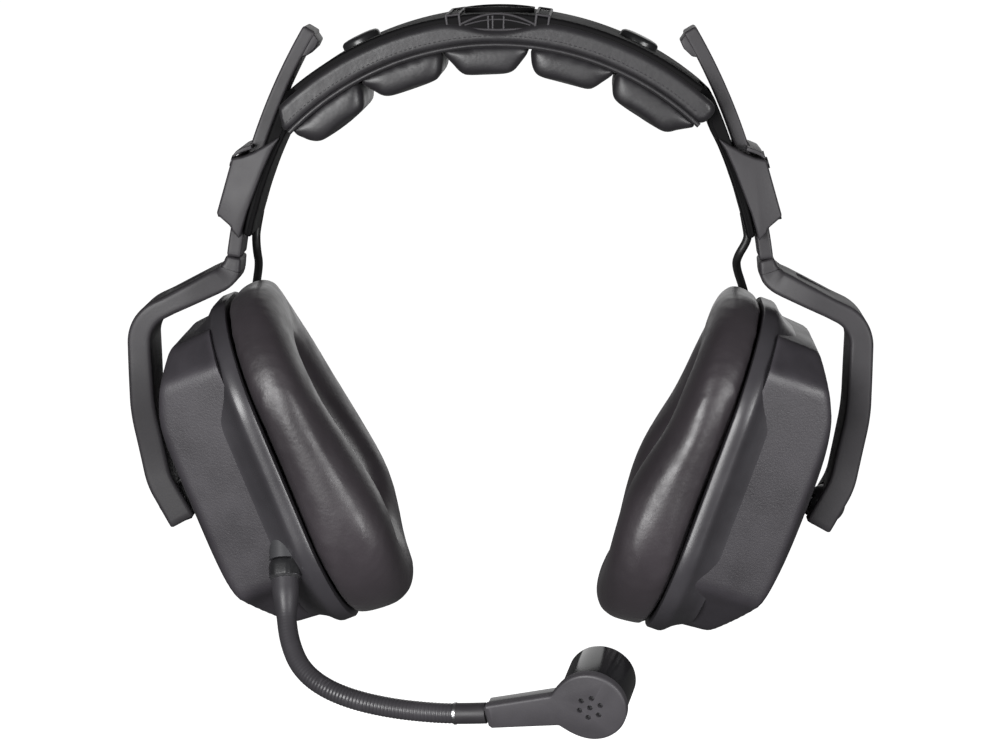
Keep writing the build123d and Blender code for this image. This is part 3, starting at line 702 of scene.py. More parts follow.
def make_button(side, sign):
    """A low oval button through the strap, with a domed top."""
    up = radial(BUTTON_ANGLE * sign)
    along = Y.cross(up)
    base = polar(BUTTON_ANGLE * sign, STRAP_RADIUS)
    profile = [(1.0, -0.6), (1.0, 1.0), (0.96, 1.5), (0.86, 1.95), (0.6, 2.25), (0.3, 2.35), (0.02, 2.35)]
    rings = []
    for share, height in profile:
        long, deep = BUTTON[0] * share, BUTTON[1] * share
        rings.append([base + up * height + along * long * cos(t) + Y * deep * sin(t) for t in turns(48)])
    button = build("strap_button_" + side, *loft(rings), "nut")
    place(button, "headband", "black_plastic", *(["strap_buttons"] if sign < 0 else []))


def make_clip(side, sign):
    """A clip of two wire loops over the strap, joined along their four corners."""
    top, foot, deep = STRAP_RADIUS + 0.4, STRAP_RADIUS - 3.6, STRAP_HALF_DEPTH + 0.2
    low, high = CLIP_ANGLE * sign - CLIP_HALF_ANGLE, CLIP_ANGLE * sign + CLIP_HALF_ANGLE
    corners = [(foot, -deep), (top, -deep), (top, deep), (foot, deep)]
    runs = [[polar(angle, radius, y) for radius, y in corners] for angle in (low, high)]
    runs += [[polar(low, radius, y), polar(high, radius, y)] for radius, y in corners]
    wires = [pipe("wire", spread(run), CLIP_WIRE_RADIUS, "black", 12) for run in runs]
    clip = join("strap_clip_" + side, wires)
    place(clip, "headband", "black_plastic", *(["strap_clips"] if sign < 0 else []))


def spread(corners, step=0.6):
    """Even points along straight runs between corners."""
    points = [corners[0]]
    for a, b in zip(corners, corners[1:]):
        parts = max(2, int((b - a).length / step))
        points += [a + (b - a) * k / parts for k in range(1, parts + 1)]
    return points


def make_bridge():
    """The sprung bridge at the crown: three bows on each edge, held apart by ribs."""
    bows = [(7, 94.2, 2.7, 0.38), (8, 93.6, -1.5, 0.45), (6, 94.0, 1.2, 0.25)]
    for face, name in ((-1, "front"), (1, "rear")):
        y = face * (STRAP_HALF_DEPTH + 0.15)
        pieces = []
        for reach, level, rise, size in bows:
            line = [polar(a, level + rise * cos(radians(90 * a / reach)), y)
                    for a in np.linspace(-reach, reach, 40)]
            pieces.append(pipe("bow", line, size, "black", 12))
        for angle in (-1.7, -0.9, 1.1):
            rib = spread([polar(angle, 92.4, y), polar(angle, 96.3, y)])
            pieces.append(pipe("rib", rib, 0.34, "black", 12))
        place(join("crown_bridge_" + name, pieces), "headband", "black_plastic")


def pad_ring(angle, inner, outer, half_depth, corner, inset=0.0):
    middle, half = (inner + outer) / 2, (outer - inner) / 2
    up = radial(angle)
    centre = polar(angle, middle)
    return [centre + Y * u + up * v for u, v in rounded(half_depth - inset, half - inset, corner, 6, 10)]


def make_pad_cover():
    """The upper, stitched part of the head pad, which wraps the core and ends in rounded noses."""
    nose = 2.6
    reach = degrees(nose / 90.0)
    ends = [(reach * (1 - cos(t)), nose * (1 - sin(t))) for t in quarter(6)]
    rows = [(PAD_START + turn, 2.4, inset) for turn, inset in ends]
    rows += [(float(angle), 2.0, 0.0) for angle in np.linspace(PAD_START + reach, PAD_END - reach, 91)]
    rows += [(PAD_END - turn, 2.4, inset) for turn, inset in reversed(ends)]
    rings = [pad_ring(angle, SEAM_RADIUS + 1, cover_top(angle), PAD_HALF_DEPTH, corner, inset)
             for angle, corner, inset in rows]
    cover = build("head_pad_wrap", *loft(rings), "pad_leather", 60)
    place(cover, "headband", "leatherette", "head_pad_cover")
    for face, name in ((-1, "front"), (1, "rear")):
        make_pad_seam(face, name)


def make_pad_seam(face, name):
    """A line of piping between cover and lobes, with a row of stitches above it."""
    line = [polar(angle, SEAM_RADIUS + 0.75, face * (PAD_HALF_DEPTH - 0.35))
            for angle in np.linspace(PAD_START + 0.6, PAD_END - 0.6, 160)]
    piping = pipe("pad_piping_" + name, line, 0.8, "pad_leather", 16)
    place(piping, "headband", "leatherette")
    stitches = []
    pitch = 0.96
    for k in range(int((PAD_END - PAD_START - 3.2) / pitch)):
        angle = PAD_START + 1.6 + k * pitch
        centre = polar(angle, SEAM_RADIUS + 3.4, face * (PAD_HALF_DEPTH + 0.02))
        along = radial(angle + 90)
        up = radial(angle)
        stations = [(centre + along * s, Y, up, 0.14, 0.15) for s in (-0.45, 0.0, 0.45)]
        stitches.append(build("stitch", *bar(stations, 0.12, 0.12, 2, 0), "thread"))
    seam = join("pad_stitches_" + name, stitches)
    place(seam, "headband", "leatherette")


def lobe_outline(number, inset, steps=7):
    """Section of a lobe as (angle, radius): wide at the seam, with leaning sides and a rounded foot."""
    middle = LOBE_TURN + (number - (LOBES - 1) / 2) * LOBE_ANGLE
    left, right = middle - LOBE_ANGLE / 2, middle + LOBE_ANGLE / 2
    low_left, low_right = middle - LOBE_FOOT_ANGLE, middle + LOBE_FOOT_ANGLE
    if number < LOBES // 2:
        low_right += LOBE_STEEP
    if number > LOBES // 2:
        low_left -= LOBE_STEEP
    if number == 0:
        left = PAD_START + 0.7
    if number == LOBES - 1:
        right, low_right = PAD_END - 0.7, low_right + 1.2
    top, foot = SEAM_RADIUS + 0.3, HEAD_RADIUS + 0.2 + inset
    degree = degrees(1 / 83.0)
    corner, shrink = 3.2 * degree, inset * degree

    def flank(low, high, way):
        """One side of the section, from the seam down round the foot's corner."""
        upper = (high - way * shrink, top - 0.9)
        lower = (low + way * corner * 0.55 - way * shrink, foot + 3.4)
        points = [upper, ((upper[0] + lower[0]) / 2, (upper[1] + lower[1]) / 2), lower]
        for k in range(steps):
            turn = radians(90 * k / (steps - 1))
            reach = corner * (1.35 * cos(turn) - 1)
            points.append((low + way * (reach - shrink), foot + 2.6 - 2.6 * sin(turn)))
        return points

    seam = [(left + shrink + (right - left - 2 * shrink) * k / 12, top) for k in range(13)]
    first, last = low_right - corner - shrink, low_left + corner + shrink
    flat = [(first + (last - first) * k / 8, foot) for k in range(1, 8)]
    return seam + flank(low_right, right, 1) + flat + list(reversed(flank(low_left, left, -1)))


def lobe_surface(number):
    edge = 3.0
    front = [(edge * (1 - cos(t)) - PAD_HALF_DEPTH + 0.3, edge * 0.9 * (1 - sin(t)))
             for t in quarter(7)]
    middle = [(y, 0.0) for y in np.linspace(-PAD_HALF_DEPTH + edge, PAD_HALF_DEPTH - edge, 15)[1:-1]]
    back = [(-y, inset) for y, inset in reversed(front)]
    return loft([[polar(angle, radius, y) for angle, radius in lobe_outline(number, inset)]
                 for y, inset in front + middle + back])


def make_lobes():
    for number in range(LOBES):
        verts, faces = lobe_surface(number)
        lobe = build("pad_lobe_%d" % (number + 1), verts, faces, "pad_leather", 60)
        inflate(lobe, 1.4, 0.6, 2.0)
        place(lobe, "headband", "leatherette")
        if number == 0:
            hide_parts("pad_lobes")


def inflate(obj, voxel, cap, pressure=4.0, frames=20):
    """Swells a pad by cloth simulation, holds each point within cap of where it was, and smooths."""
    modifier = obj.modifiers.new("grid", "REMESH")
    modifier.mode = "VOXEL"
    modifier.voxel_size = voxel * MM
    bake(obj)
    rest = np.array([v.co for v in obj.data.vertices])
    cloth = obj.modifiers.new("air", "CLOTH")
    cloth.settings.use_pressure = True
    cloth.settings.uniform_pressure_force = pressure
    cloth.settings.effector_weights.gravity = 0.0
    cloth.settings.quality = 5
    cloth.point_cache.frame_start = 1
    cloth.point_cache.frame_end = frames
    scene = bpy.context.scene
    for number in range(1, frames + 1):
        scene.frame_set(number)
    graph = bpy.context.evaluated_depsgraph_get()
    moved = np.array([v.co for v in obj.evaluated_get(graph).data.vertices])
    obj.modifiers.clear()
    shift = moved - rest
    far = np.linalg.norm(shift, axis=1, keepdims=True)
    limit = cap * MM
    shift *= np.where(far > limit, limit / np.maximum(far, 1e-9), 1.0)
    obj.data.vertices.foreach_set("co", (rest + shift).astype(np.float32).ravel())
    obj.data.update()
    scene.frame_set(1)
    smooth = obj.modifiers.new("smooth", "SMOOTH")
    smooth.iterations = 2
    smooth.factor = 0.5
    subdivide = obj.modifiers.new("fine", "SUBSURF")
    subdivide.levels = 1
    subdivide.render_levels = 1
    bake(obj)
    soften(obj, 80)


# ---------------------------------------------------------------- slider and arm
def on_side(points, sign):
    """A left-side outline of (x, z) points, flipped for the right side."""
    return [(-sign * x, z) for x, z in points]


def strip_point(side, length, radius):
    return polar(strip_angle(side, length), radius, 0, STRIP_CENTRES[side])


def strip_stations(side, low, high, half_across, half_up, radius=STRIP_RADIUS):
    """Stations along the slider strip's arc, between two lengths above its foot."""
    return arc_stations(STRIP_CENTRES[side], radius, strip_angle(side, low), strip_angle(side, high),
                        half_across, half_up)


def make_slider(side):
    sign = SIDES[side]
    depth = HOUSING_HALF_DEPTH
    body = prism(side + "_slider_block", on_side(HOUSING_OUTLINE, sign), -depth, depth, "black", 0.8)
    inner = STRIP_RADIUS - STRIP_THICKNESS / 2 - 0.35
    tail = strip_stations(side, -12, 60, TAIL_HALF_DEPTH + 0.15, 6.0, inner - 6.0)
    cut(body, build("tail_room", *bar(tail, 0.3, 0.3, 3, 0), "black"))
    slot = strip_stations(side, -12, 60, STRIP_HALF_WIDTH + 0.35, STRIP_THICKNESS / 2 + 0.35)
    cut(body, build("slot", *bar(slot, 0.3, 0.3, 3, 0), "black"))
    place(body, "headband", "black_plastic", side + "_slider_housing")
    collar = prism(side + "_slider_lip", on_side(LIP_OUTLINE, sign), -depth + 0.4, depth - 0.4, "black", 0.25)
    cut(collar, build("slot", *bar(slot, 0.3, 0.3, 3, 0), "black"))
    place(collar, "headband", "black_plastic", side + "_slider_collar")


def make_strip(side):
    stations = strip_stations(side, 0.1, STRIP_LENGTH - 0.8, STRIP_HALF_WIDTH, STRIP_THICKNESS / 2)
    strip = build(side + "_strip", *bar(stations, 0.7, 0.9, 4, 6), "black")
    groove = strip_stations(side, 50, 69, 4.0, 1.3, STRIP_RADIUS + STRIP_THICKNESS / 2 + 0.6)
    cut(strip, build("groove", *bar(groove, 0.8, 0.8), "black"))
    # the stop lug: a wedge on the inner face that grows towards the tip
    inner = STRIP_RADIUS - STRIP_THICKNESS / 2
    wedge = [strip_point(side, STRIP_LENGTH - back, inner + level)
             for back, level in ((9.5, 0.4), (8.4, -1.1), (5.0, -2.2), (2.6, -2.0), (1.4, 0.4))]
    half = STRIP_HALF_WIDTH - 0.2
    lug = prism(side + "_stop", [(p.x, p.z) for p in wedge], -half, half, "black", 0.4)
    strip = join(side + "_slider_bar", [strip, lug])
    place(strip, side + "_arm", "black_plastic", side + "_slider_strip")


ARM_ROUTE = [
    (-81.95, -57.0), (-83.4, -62.6), (-111.5, -76.3), (-110.9, -105.0), (-106.6, -127.5), (-99.3, -140.8),
]
ARM_BENDS = [7.0, 11.0, 60.0, 22.0]
# thickness at shares of the arm's length, from the foot to the pivot end
ARM_THICKNESS = [
    (0.0, 5.0), (0.05, 7.0), (0.12, 7.4), (0.22, 6.3), (0.36, 7.0), (0.6, 7.8), (0.85, 8.2), (1.0, 8.5),
]
ARM_HALF_DEPTH, ARM_END_HALF_DEPTH, ARM_FOOT_HALF_DEPTH = 11.5, 8.5, 8.2
ARM_TAPER_START, ARM_TAPER_LENGTH = -88.0, 38.0
SOCKET_RADIUS = 6.3


def filleted(points, radii, step=0.8):
    """A line through corners rounded to the given radii, as even points."""
    pts = [Vector((x, 0, z)) for x, z in points]
    line = [pts[0]]
    for before, here, after, radius in zip(pts, pts[1:], pts[2:], radii):
        back, ahead = (before - here).normalized(), (after - here).normalized()
        half = back.angle(ahead) / 2
        reach = radius / tan(half)
        centre = here + (back + ahead).normalized() * radius / sin(half)
        first, last = here + back * reach, here + ahead * reach
        sweep = (first - centre).angle(last - centre)
        count = max(3, int(sweep * radius / step))
        for i in range(count + 1):
            turn = sweep * i / count
            a = sin(sweep - turn) / sin(sweep)
            b = sin(turn) / sin(sweep)
            line.append(centre + (first - centre) * a + (last - centre) * b)
    line.append(pts[-1])
    dense = [line[0]]
    for a, b in zip(line, line[1:]):
        parts = max(1, int((b - a).length / (2.5 * step)))
        for k in range(1, parts + 1):
            dense.append(a + (b - a) * k / parts)
    return dense


def make_arm_screws(side):
    """Two screws through the arm's foot into the strip, their heads flush with the outer face."""
    root = polar(strip_angle(side, -2.6), STRIP_RADIUS + 1.6, 0, STRIP_CENTRES[side])
    inward = (STRIP_CENTRES[side] - root).normalized()
    profile = [(0.0, 1.5), (1.0, 1.5), (1.0, 0.9), (3.4, 0.9)]
    screws = [lathe("screw", root + Y * y, inward, profile, "screw", 32) for y in (-3.6, 3.6)]
    pair = join(side + "_foot_screws", screws)
    place(pair, side + "_arm", "screw_steel", side + "_arm_screws")


def make_arm(side):
    sign = SIDES[side]
    line = filleted(on_side(ARM_ROUTE, sign), ARM_BENDS)
    stations = []
    for i, point in enumerate(line):
        way = (line[min(i + 1, len(line) - 1)] - line[max(i - 1, 0)]).normalized()
        up = way.cross(Y) * sign
        up = up if up.x * sign > 0 or up.z > 0 else -up
        share = i / (len(line) - 1)
        taper = smoothstep(0, 1, (ARM_TAPER_START - point.z) / ARM_TAPER_LENGTH)
        depth = ARM_HALF_DEPTH - (ARM_HALF_DEPTH - ARM_END_HALF_DEPTH) * taper
        depth -= (ARM_HALF_DEPTH - ARM_FOOT_HALF_DEPTH) * (1 - smoothstep(0.04, 0.2, share))
        thickness = float(np.interp(share, *zip(*ARM_THICKNESS)))
        stations.append((point, Y, up, depth, thickness / 2))
    arm = build(side + "_arm_bar", *bar(stations, 1.3, 0.9, 5, 4), "black")
    # shallow channel in the shoulder's outer face
    a, b = Vector((sign * 92.0, 0, -62.0)), Vector((sign * 104.0, 0, -67.9))
    way = (b - a).normalized()
    up = way.cross(Y)
    up = up if up.z > 0 else -up
    trough = [(a + way * s + up * 0.7, Y, up, 6.4, 2.0) for s in np.linspace(0, (b - a).length, 8)]
    cut(arm, build("trough", *bar(trough, 1.2, 1.2), "black"))
    # the parting line near the foot
    foot = Vector((sign * 83.6, 0, -60.6))
    notch = [(foot + Vector((sign * s, 0, 0.35 * s)), Y, Vector((-0.33 * sign, 0, 0.94)), 13.0, 0.18)
             for s in (-4.2, 0, 3.2)]
    ring = build("notch", *bar(notch, 0.1, 0.1, 2, 0), "black")
    core = [(point, Y, up, deep - 0.35, thin - 0.35) for point, _, up, deep, thin in stations]
    cut(ring, build("core", *bar(core, 1.1, 0.5, 4, 2), "black"))
    cut(arm, ring)
    bore = [(0.0, SOCKET_RADIUS), (20.0, SOCKET_RADIUS)]
    socket = lathe("socket", PIVOTS[side], -OUTS[side], bore, "black", 64)
    cut(arm, socket)
    profile = [(-2.4, 6.1), (-2.4, 7.0), (-2.0, 7.4), (-0.3, 7.4), (-0.3, 6.1)]
    boss = lathe(side + "_boss", PIVOTS[side], OUTS[side], profile, "black", 64, closed=True)
    whole = join(side + "_yoke", [arm, boss])
    place(whole, side + "_arm", "black_plastic", side + "_yoke_arm")


# ---------------------------------------------------------------- ear cups
def smooth_max(a, b, k):
    h = np.maximum(k - np.abs(a - b), 0.0) / k
    return np.maximum(a, b) + h * h * k * 0.25


def cup_field(a, b, c, wall):
    """Signed distance, roughly, to the cup's outer form moved in by wall."""
    rise = c - RIM_THICKNESS
    half_length = SHELL_HALF_LENGTH - rise * tan(radians(SHELL_END_DRAFT))
    half_depth = SHELL_HALF_DEPTH - rise * tan(radians(SHELL_SIDE_DRAFT))
    ends = np.abs(a) - half_length
    faces = np.abs(b) - half_depth
    flat = np.where(a > 0, SHELL_FLAT_TOP, SHELL_FLAT_FOOT)
    corners = 0.748 * (np.abs(a) - half_length) + 0.663 * (np.abs(b) - flat * half_depth)
    along = np.sqrt(a * a + (c + DOME_RADIUS_ALONG - CUP_HEIGHT) ** 2) - DOME_RADIUS_ALONG
    across = np.sqrt(b * b + (c + DOME_RADIUS_ACROSS - CUP_HEIGHT) ** 2) - DOME_RADIUS_ACROSS
    field = smooth_max(smooth_max(ends, faces, 1.6), corners, 1.6)
    dome = smooth_max(along, across, 2.0)
    return smooth_max(field, dome, 1.6) + wall


def cup_grid(side, wall, rows, columns=224):
    """Points of the cup's surface on rays from the middle of its base: the apex and the rings below it."""
    def reach(ray_a, ray_b, ray_c):
        low, high = np.zeros_like(ray_c), np.full_like(ray_c, 80.0)
        for _ in range(40):
            mid = (low + high) / 2
            inside = cup_field(ray_a * mid, ray_b * mid, RIM_THICKNESS + ray_c * mid, wall) < 0
            low, high = np.where(inside, mid, low), np.where(inside, high, mid)
        return low

    phi = np.linspace(0.0, pi / 2, rows)[1:, None]
    theta = np.linspace(0, 2 * pi, columns, endpoint=False)
    rays = (np.sin(phi) * np.cos(theta), np.sin(phi) * np.sin(theta), np.cos(phi) * np.ones_like(theta))
    far = reach(*rays)
    rings = [[cup_point(side, a, b, RIM_THICKNESS + c) for a, b, c in zip(*row)]
             for row in zip(*(ray * far for ray in rays))]
    height = reach(np.zeros(1), np.zeros(1), np.ones(1))[0]
    return cup_point(side, 0, 0, RIM_THICKNESS + height), rings


def make_cup_shell(side):
    """The shell's outer and inner skins, joined along their open edge."""
    verts, faces, edges = [], [], []
    for wall, rows in ((0.0, 64), (SHELL_WALL, 24)):
        apex, rings = cup_grid(side, wall, rows)
        count, base = len(rings[0]), len(verts) + 1
        verts += [apex] + [point for ring in rings for point in ring]
        faces += [(base - 1, base + j, base + (j + 1) % count) for j in range(count)]
        for i in range(len(rings) - 1):
            a, b = base + i * count, base + (i + 1) * count
            faces += [(a + j, b + j, b + (j + 1) % count, a + (j + 1) % count) for j in range(count)]
        edges.append(base + (len(rings) - 1) * count)
    a, b = edges
    faces += [(a + j, b + j, b + (j + 1) % count, a + (j + 1) % count) for j in range(count)]
    shell = build(side + "_shell", verts, faces, "cup", 50)
    place(shell, side + "_cup", "cup_plastic", side + "_cup_shell")


def oval(length, depth, corner, count=160):
    """Even points round a rounded rectangle in the cup's plane, from the top going to the rear."""
    return resample(rounded(length / 2, depth / 2, corner, 24, 10), count, closed=True)[0]


def hoop(side, outline, profile):
    """Carries a closed profile of (outward offset, c) round a closed outline."""
    count = len(outline)
    rings = []
    for i, (a, b) in enumerate(outline):
        before, after = outline[i - 1], outline[(i + 1) % count]
        ta, tb = after[0] - before[0], after[1] - before[1]
        size = hypot(ta, tb)
        na, nb = tb / size, -ta / size
        rings.append([cup_point(side, a + na * off, b + nb * off, c) for off, c in profile])
    return loft(rings, around=True)


def make_rim(side):
    """The cup's rim: flush with the cushion, then a hollow curve up into the shell."""
    outline = oval(RIM_LENGTH, RIM_DEPTH, RIM_CORNER)
    profile = [(-0.6, 0.1), (-0.25, 0.15), (0.0, 0.5), (0.0, 3.9), (-0.25, 4.7), (-0.8, 5.5), (-1.6, 6.3),
               (-2.5, 7.3), (-3.3, 8.5), (-4.2, 10.2), (-5.2, 12.4), (-6.6, 12.4), (-6.6, 0.15), (-3.0, 0.1)]
    rim = build(side + "_rim", *hoop(side, outline, profile), "rim", 40)
    place(rim, side + "_cup", "cup_plastic", side + "_rim_ring")


# how thick each cushion is at places up the cup: fuller below the middle, thin at the top
CUSHION_DEPTHS = {
    "left": [(-54, 21.5), (-36, 24.0), (-25, 24.6), (-14, 23.4), (2, 21.3), (18, 18.8), (33, 17.3),
             (54, 16.6)],
    "right": [(-54, 19.0), (-36, 20.6), (-23, 21.6), (-13, 21.9), (-1, 20.3), (10, 17.8), (19, 16.2),
              (54, 15.5)],
}
# powers of the section's superellipse: the higher, the boxier
SEAM_SIDE_POWERS = (9.0, 9.0)
FACE_SIDE_POWERS = (2.9, 2.7)


def make_cushion(side):
    """The ear cushion: a fat oval ring, boxy at the rim, rounder on the face side, swollen by simulation."""
    count = 200
    outer = oval(RIM_LENGTH - 0.5, RIM_DEPTH - 0.5, RIM_CORNER - 0.25, count)
    inner = oval(*CUSHION_OPENING, count)
    depths = list(zip(*CUSHION_DEPTHS[side]))
    steps = np.linspace(-30, 30, 13)
    rings = []
    for (ao, bo), (ai, bi) in zip(outer, inner):
        ring = []
        depth = float(np.mean(np.interp(ao + steps * 0.3, *depths))) - 0.8
        depth -= CUSHION_REAR_DROP * smoothstep(-10.0, 36.0, bo)
        for turn in turns(40):
            cu, cv = cos(turn), sin(turn)
            across_power, deep_power = SEAM_SIDE_POWERS if cv > 0 else FACE_SIDE_POWERS
            u = copysign(abs(cu) ** (2 / across_power), cu)
            v = copysign(abs(cv) ** (2 / deep_power), cv)
            c = -0.3 - (depth - 0.3) * (1 - v) / 2
            share = (1 + u) / 2 + 0.05 * sin(pi * (1 - v) / 2) * (1 if u > 0 else -1)
            ring.append(cup_point(side, ai + (ao - ai) * share, bi + (bo - bi) * share, c))
        rings.append(ring)
    cushion = build(side + "_cushion", *loft(rings, around=True), "leather", 60)
    inflate(cushion, 2.0, 0.7)
    place(cushion, side + "_cup", "leatherette", side + "_ear_cushion")


# ---------------------------------------------------------------- boom microphone
BOOM_ROUTE = [
    (-63.8, -39.5, -150.6), (-63.2, -42.6, -156.7), (-62.7, -46.2, -162.6), (-61.1, -50.8, -168.4),
    (-57.6, -56.2, -173.9), (-51.2, -61.7, -177.7), (-41.9, -66.5, -180.3), (-30.0, -70.0, -181.9),
    (-18.0, -72.5, -182.4), (-8.6, -73.9, -182.2), (-1.4, -75.2, -181.5),
]


def hexagon_rings(origin, out, profile, rounding=0.93):
    """Rings of a six-sided turned piece: each flat pulls in by the rounding share."""
    side = out.orthogonal().normalized()
    other = out.cross(side)
    rings = []
    for along, radius, flatness in profile:
        ring = []
        for turn in turns(72):
            flat = rounding / cos((turn % (pi / 3)) - pi / 6)
            reach = min(radius, radius * (1 + (flat - 1) * flatness))
            ring.append(origin + out * along + (side * cos(turn) + other * sin(turn)) * reach)
        rings.append(ring)
    return rings


def make_boom_base(exit_point, out):
    gland = lathe("boom_gland_body", exit_point, out, [(-14.0, 3.5), (-14.0, 4.5), (-5.8, 4.5), (-5.8, 3.5)],
                  "gland", 48, closed=True)
    place(gland, "left_cup", "gland_metal", "boom_gland")
    profile = [(-5.7, 3.2, 0), (-5.55, 3.9, 0), (-5.1, 4.4, 0.2), (-4.4, 4.75, 0.8), (-3.6, 4.85, 1),
               (-1.0, 4.85, 1), (-0.6, 4.8, 1), (-0.6, 3.2, 0)]
    nut = build("boom_nut_hex", *loft(hexagon_rings(exit_point, out, profile)), "nut", 30)
    place(nut, "boom_root", "boom_nut_plastic", "boom_nut")
    profile = [(-0.6, 3.4), (-0.6, 4.75), (-0.35, 4.8), (0.25, 4.25), (0.35, 4.1), (0.35, 3.4)]
    ring = lathe("boom_nut_ring", exit_point, out, profile, "bright", 64, closed=True)
    place(ring, "boom_root", "gland_metal")


def make_boom():
    out = joint_axis("boom_swivel")
    exit_point = joint_point("boom_swivel")
    make_boom_base(exit_point, out)
    line, length = spline_line(BOOM_ROUTE, 900)
    lower = joint_point("boom_bend_lower")
    upper = joint_point("boom_bend_upper")
    nearest = lambda p: min(range(len(line)), key=lambda i: (line[i] - p).length)
    first, second = nearest(lower), nearest(upper)
    split = (first + second) // 2
    ferrule_length = 9.2
    pitch = 1.1

    def girth(share):
        along = share * length
        rib = 0.5 + 0.5 * cos(2 * pi * along / pitch)
        depth = 0.02 + 0.10 * smoothstep(0.3, 0.55, share)
        sleeve = 1.05 * (1 - smoothstep(3.5, 13.5, along))
        return BOOM_RADIUS + sleeve - depth * (1 - rib ** 0.7) * smoothstep(9.0, 14.0, along)

    def stretch(name, low, high):
        part = line[low:high + 1]
        size = lambda share: girth((low + share * (high - low)) / (len(line) - 1))
        return pipe(name, part, size, "gooseneck", 28, True, 80)

    last = int((1 - ferrule_length / length) * (len(line) - 1))
    near = stretch("gooseneck_near", 0, split)
    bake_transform(near)
    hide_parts("gooseneck_root", "gooseneck_middle")
    far = stretch("gooseneck_far", split, last)
    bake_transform(far)
    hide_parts("gooseneck_tip")
    make_ferrule(line[last:])
    return line[-1]


def make_ferrule(line):
    """The smooth sleeve between gooseneck and microphone, and the pale ring before it."""
    ferrule = pipe("boom_ferrule", line, BOOM_RADIUS + 0.1, "black", 32, True, 60)
    place(ferrule, "boom_head", "black_plastic", "mic_ferrule")
    way = (line[2] - line[0]).normalized()
    profile = [(-0.45, 2.7), (-0.45, 3.15), (-0.3, 3.3), (0.3, 3.3), (0.45, 3.15), (0.45, 2.7)]
    ring = lathe("boom_ring", line[0], way, profile, "bright", 48, closed=True)
    place(ring, "boom_head", "gland_metal")


MIC_CENTRE = Vector((28.8, -86.1, -176.4))
MIC_FACING = Vector((-0.20, -0.947, -0.25)).normalized()
MIC_RADIUS = 10.7
MIC_CAN_RADIUS = 10.0
MIC_PLATE = 3.0
MIC_DEPTH = 19.5
MIC_NECK_DEPTH = 7.0
MIC_HOLE_RADIUS = 0.82
MIC_HOLES_CIRCLE = 3.25
MIC_NECK_WIDE, MIC_NECK_NARROW = 5.6, 3.7


def paddle(head, length, inset, fillet=4.5, count=72):
    """Outline of a round head that flares out of a tapering neck, the neck along +u."""
    upper = []
    for k in range(1, count + 1):
        u = -head + (length + head) * (1 - cos(pi * k / count / 2))
        half = sqrt(max(head * head - u * u, 0.0))
        if u > 2.0:
            neck = MIC_NECK_WIDE + (MIC_NECK_NARROW - MIC_NECK_WIDE) * u / length
            half = float(smooth_max(np.array(half), np.array(neck), fillet))
        upper.append((u + inset * max(-u / head, 0.0), max(half - inset, 0.02)))
    upper[-1] = (length - inset, upper[-1][1] - 0.8)
    upper.insert(-1, (length - inset - 0.8, upper[-2][1]))
    return [(-head + inset, 0.0)] + upper + [(u, -half) for u, half in reversed(upper)]


def make_microphone(boom_end):
    tailward = boom_end - MIC_CENTRE
    x_axis = (tailward - MIC_FACING * tailward.dot(MIC_FACING)).normalized()
    y_axis = MIC_FACING.cross(x_axis)
    length = tailward.dot(x_axis) - 0.6

    def at(u, v, w):
        return MIC_CENTRE + x_axis * u + y_axis * v + MIC_FACING * w

    rings = []
    for w, inset in ((-MIC_PLATE, 0.3), (-MIC_PLATE + 0.25, 0.0), (-0.75, 0.0), (-0.4, 0.1), (-0.15, 0.35),
                     (0.0, 0.8)):
        rings.append([at(u, v, w) for u, v in paddle(MIC_RADIUS, length, inset)])
    front = build("mic_front_shell", *loft(rings), "mic", 35)
    turn = radians(8)
    holes = [(0.0, 0.0)] + [(MIC_HOLES_CIRCLE * cos(turn + t), MIC_HOLES_CIRCLE * sin(turn + t))
                             for t in turns(6)]
    bore = [(0.0, MIC_HOLE_RADIUS), (2.4, MIC_HOLE_RADIUS)]
    for u, v in holes:
        cut(front, lathe("pin", at(u, v, 0.6), -MIC_FACING, bore, "mic", 24))
    place(front, "boom_head", "mic_matte", "mic_front")
    reach, r = MIC_DEPTH - MIC_PLATE, MIC_CAN_RADIUS
    can = lathe("can", at(0, 0, -MIC_PLATE - 0.05), -MIC_FACING,
                [(0.0, r - 0.5), (0.0, r - 0.2), (0.25, r), (reach - 1.6, r), (reach - 0.9, r - 0.2),
                 (reach - 0.3, r - 0.8), (reach, r - 1.8), (reach, 4.0), (reach - 0.3, 3.6),
                 (reach - 0.3, 0.5)], "mic_gloss", 96)
    rings = []
    for w, inset in ((-MIC_PLATE - 0.05, 0.5), (-MIC_NECK_DEPTH + 1.2, 0.5), (-MIC_NECK_DEPTH + 0.5, 0.8),
                     (-MIC_NECK_DEPTH + 0.1, 1.4), (-MIC_NECK_DEPTH, 2.2)):
        rings.append([at(u, v, w) for u, v in paddle(MIC_RADIUS - 0.9, length, inset)])
    neck = build("neck", *loft(rings), "mic_gloss", 35)
    back = join("mic_back_shell", [can, neck])
    place(back, "boom_head", "mic_gloss", "mic_back")


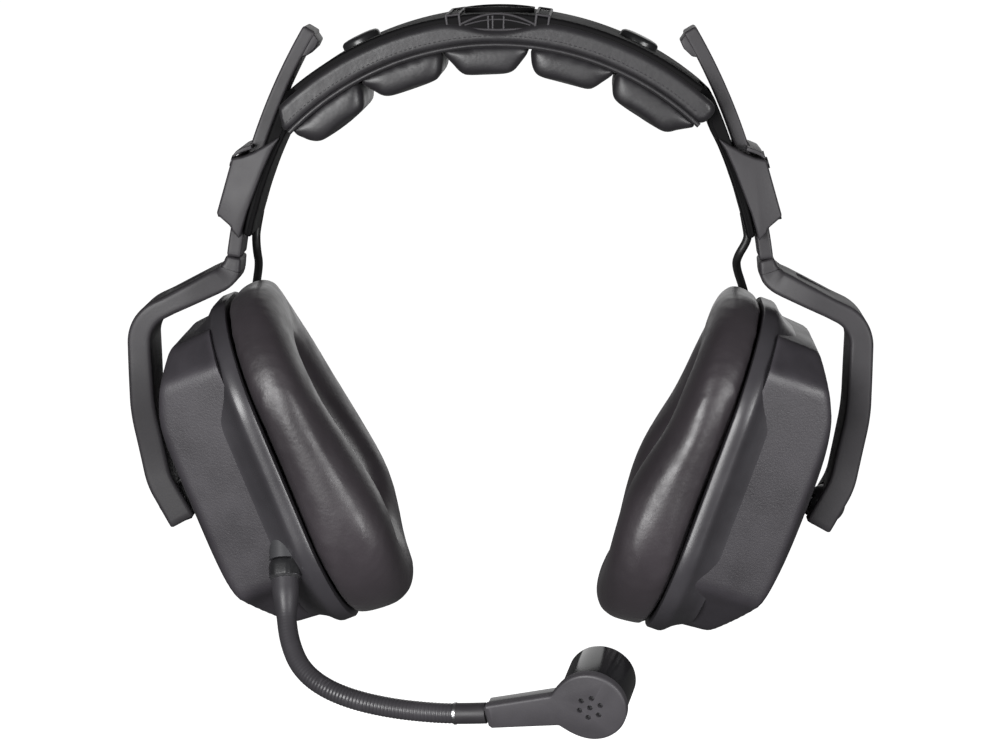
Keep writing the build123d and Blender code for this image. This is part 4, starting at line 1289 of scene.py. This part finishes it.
# ---------------------------------------------------------------- wires
WIRE_ROUTE = [
    (62.0, 12.8, -11.0), (58.2, 19.8, -9.2), (53.0, 30.2, -5.0), (45.8, 38.6, 0.4), (37.6, 31.2, 2.8),
]
WIRE_RADIUS = 1.35
WIRE_HELD = [(66.0, 83.0), (69.8, 82.0), (71.9, 81.3)]
WIRE_SPLITS = [0, 52, 92, 180]


def make_wire_tail(side):
    """The wire from the strap's end round the cushion into the rim, in three stretches."""
    sign = SIDES[side]
    low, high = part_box("crossover_wire")
    wire_y = (low.y + high.y) / 2 / MM
    held = [polar(sign * angle, radius, wire_y) for angle, radius in WIRE_HELD]
    line, _ = spline_line(held + [cup_point(side, *p) for p in WIRE_ROUTE], WIRE_SPLITS[-1])
    bodies = ["headband", side + "_arm", side + "_gimbal", side + "_cup"]
    for number, (a, b) in enumerate(zip(bodies, bodies[1:])):
        part = line[WIRE_SPLITS[number]:WIRE_SPLITS[number + 1] + 1]
        wire = pipe("%s_wire_%d" % (side, number + 1), part, WIRE_RADIUS, "wire", 20, number == 2, 80)
        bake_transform(wire)
        if number == 0:
            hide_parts(side + "_wire_tail")


# ---------------------------------------------------------------- what stays as it is in the frame
CAD_FINISHES = {
    "spring_band": "steel", "head_pad_core": "foam", "centre_bridge": "strap", "crossover_wire": "wire",
    "detent_springs": "steel", "slider_screws": "screw", "cable_inlet": "wire", "terminal_board": "board",
    "mic_foam": "foam", "mic_capsule": "magnet",
}
SIDE_FINISHES = {
    "swivel_bush": "nylon", "ball_stud": "chrome", "baffle_plate": "black",
    "driver_frame": "black", "driver_diaphragm": "film", "driver_magnet": "magnet", "damping_foam": "foam",
    "ear_scrim": "scrim", "cup_screws": "screw",
}


def finish_cad_nodes():
    finishes = dict(CAD_FINISHES)
    for side in SIDES:
        finishes.update({side + "_" + name: finish for name, finish in SIDE_FINISHES.items()})
    for name, finish in finishes.items():
        obj = frame["nodes"][name]
        obj.data.materials.clear()
        obj.data.materials.append(MATERIALS[finish])


make_stage()
make_strap()
make_strap_trim()
make_bridge()
make_pad_cover()
make_lobes()
for side in SIDES:
    make_slider(side)
    make_strip(side)
    make_arm(side)
    make_arm_screws(side)
    make_cup_shell(side)
    make_rim(side)
    make_cushion(side)
    make_wire_tail(side)
make_microphone(make_boom())
finish_cad_nodes()
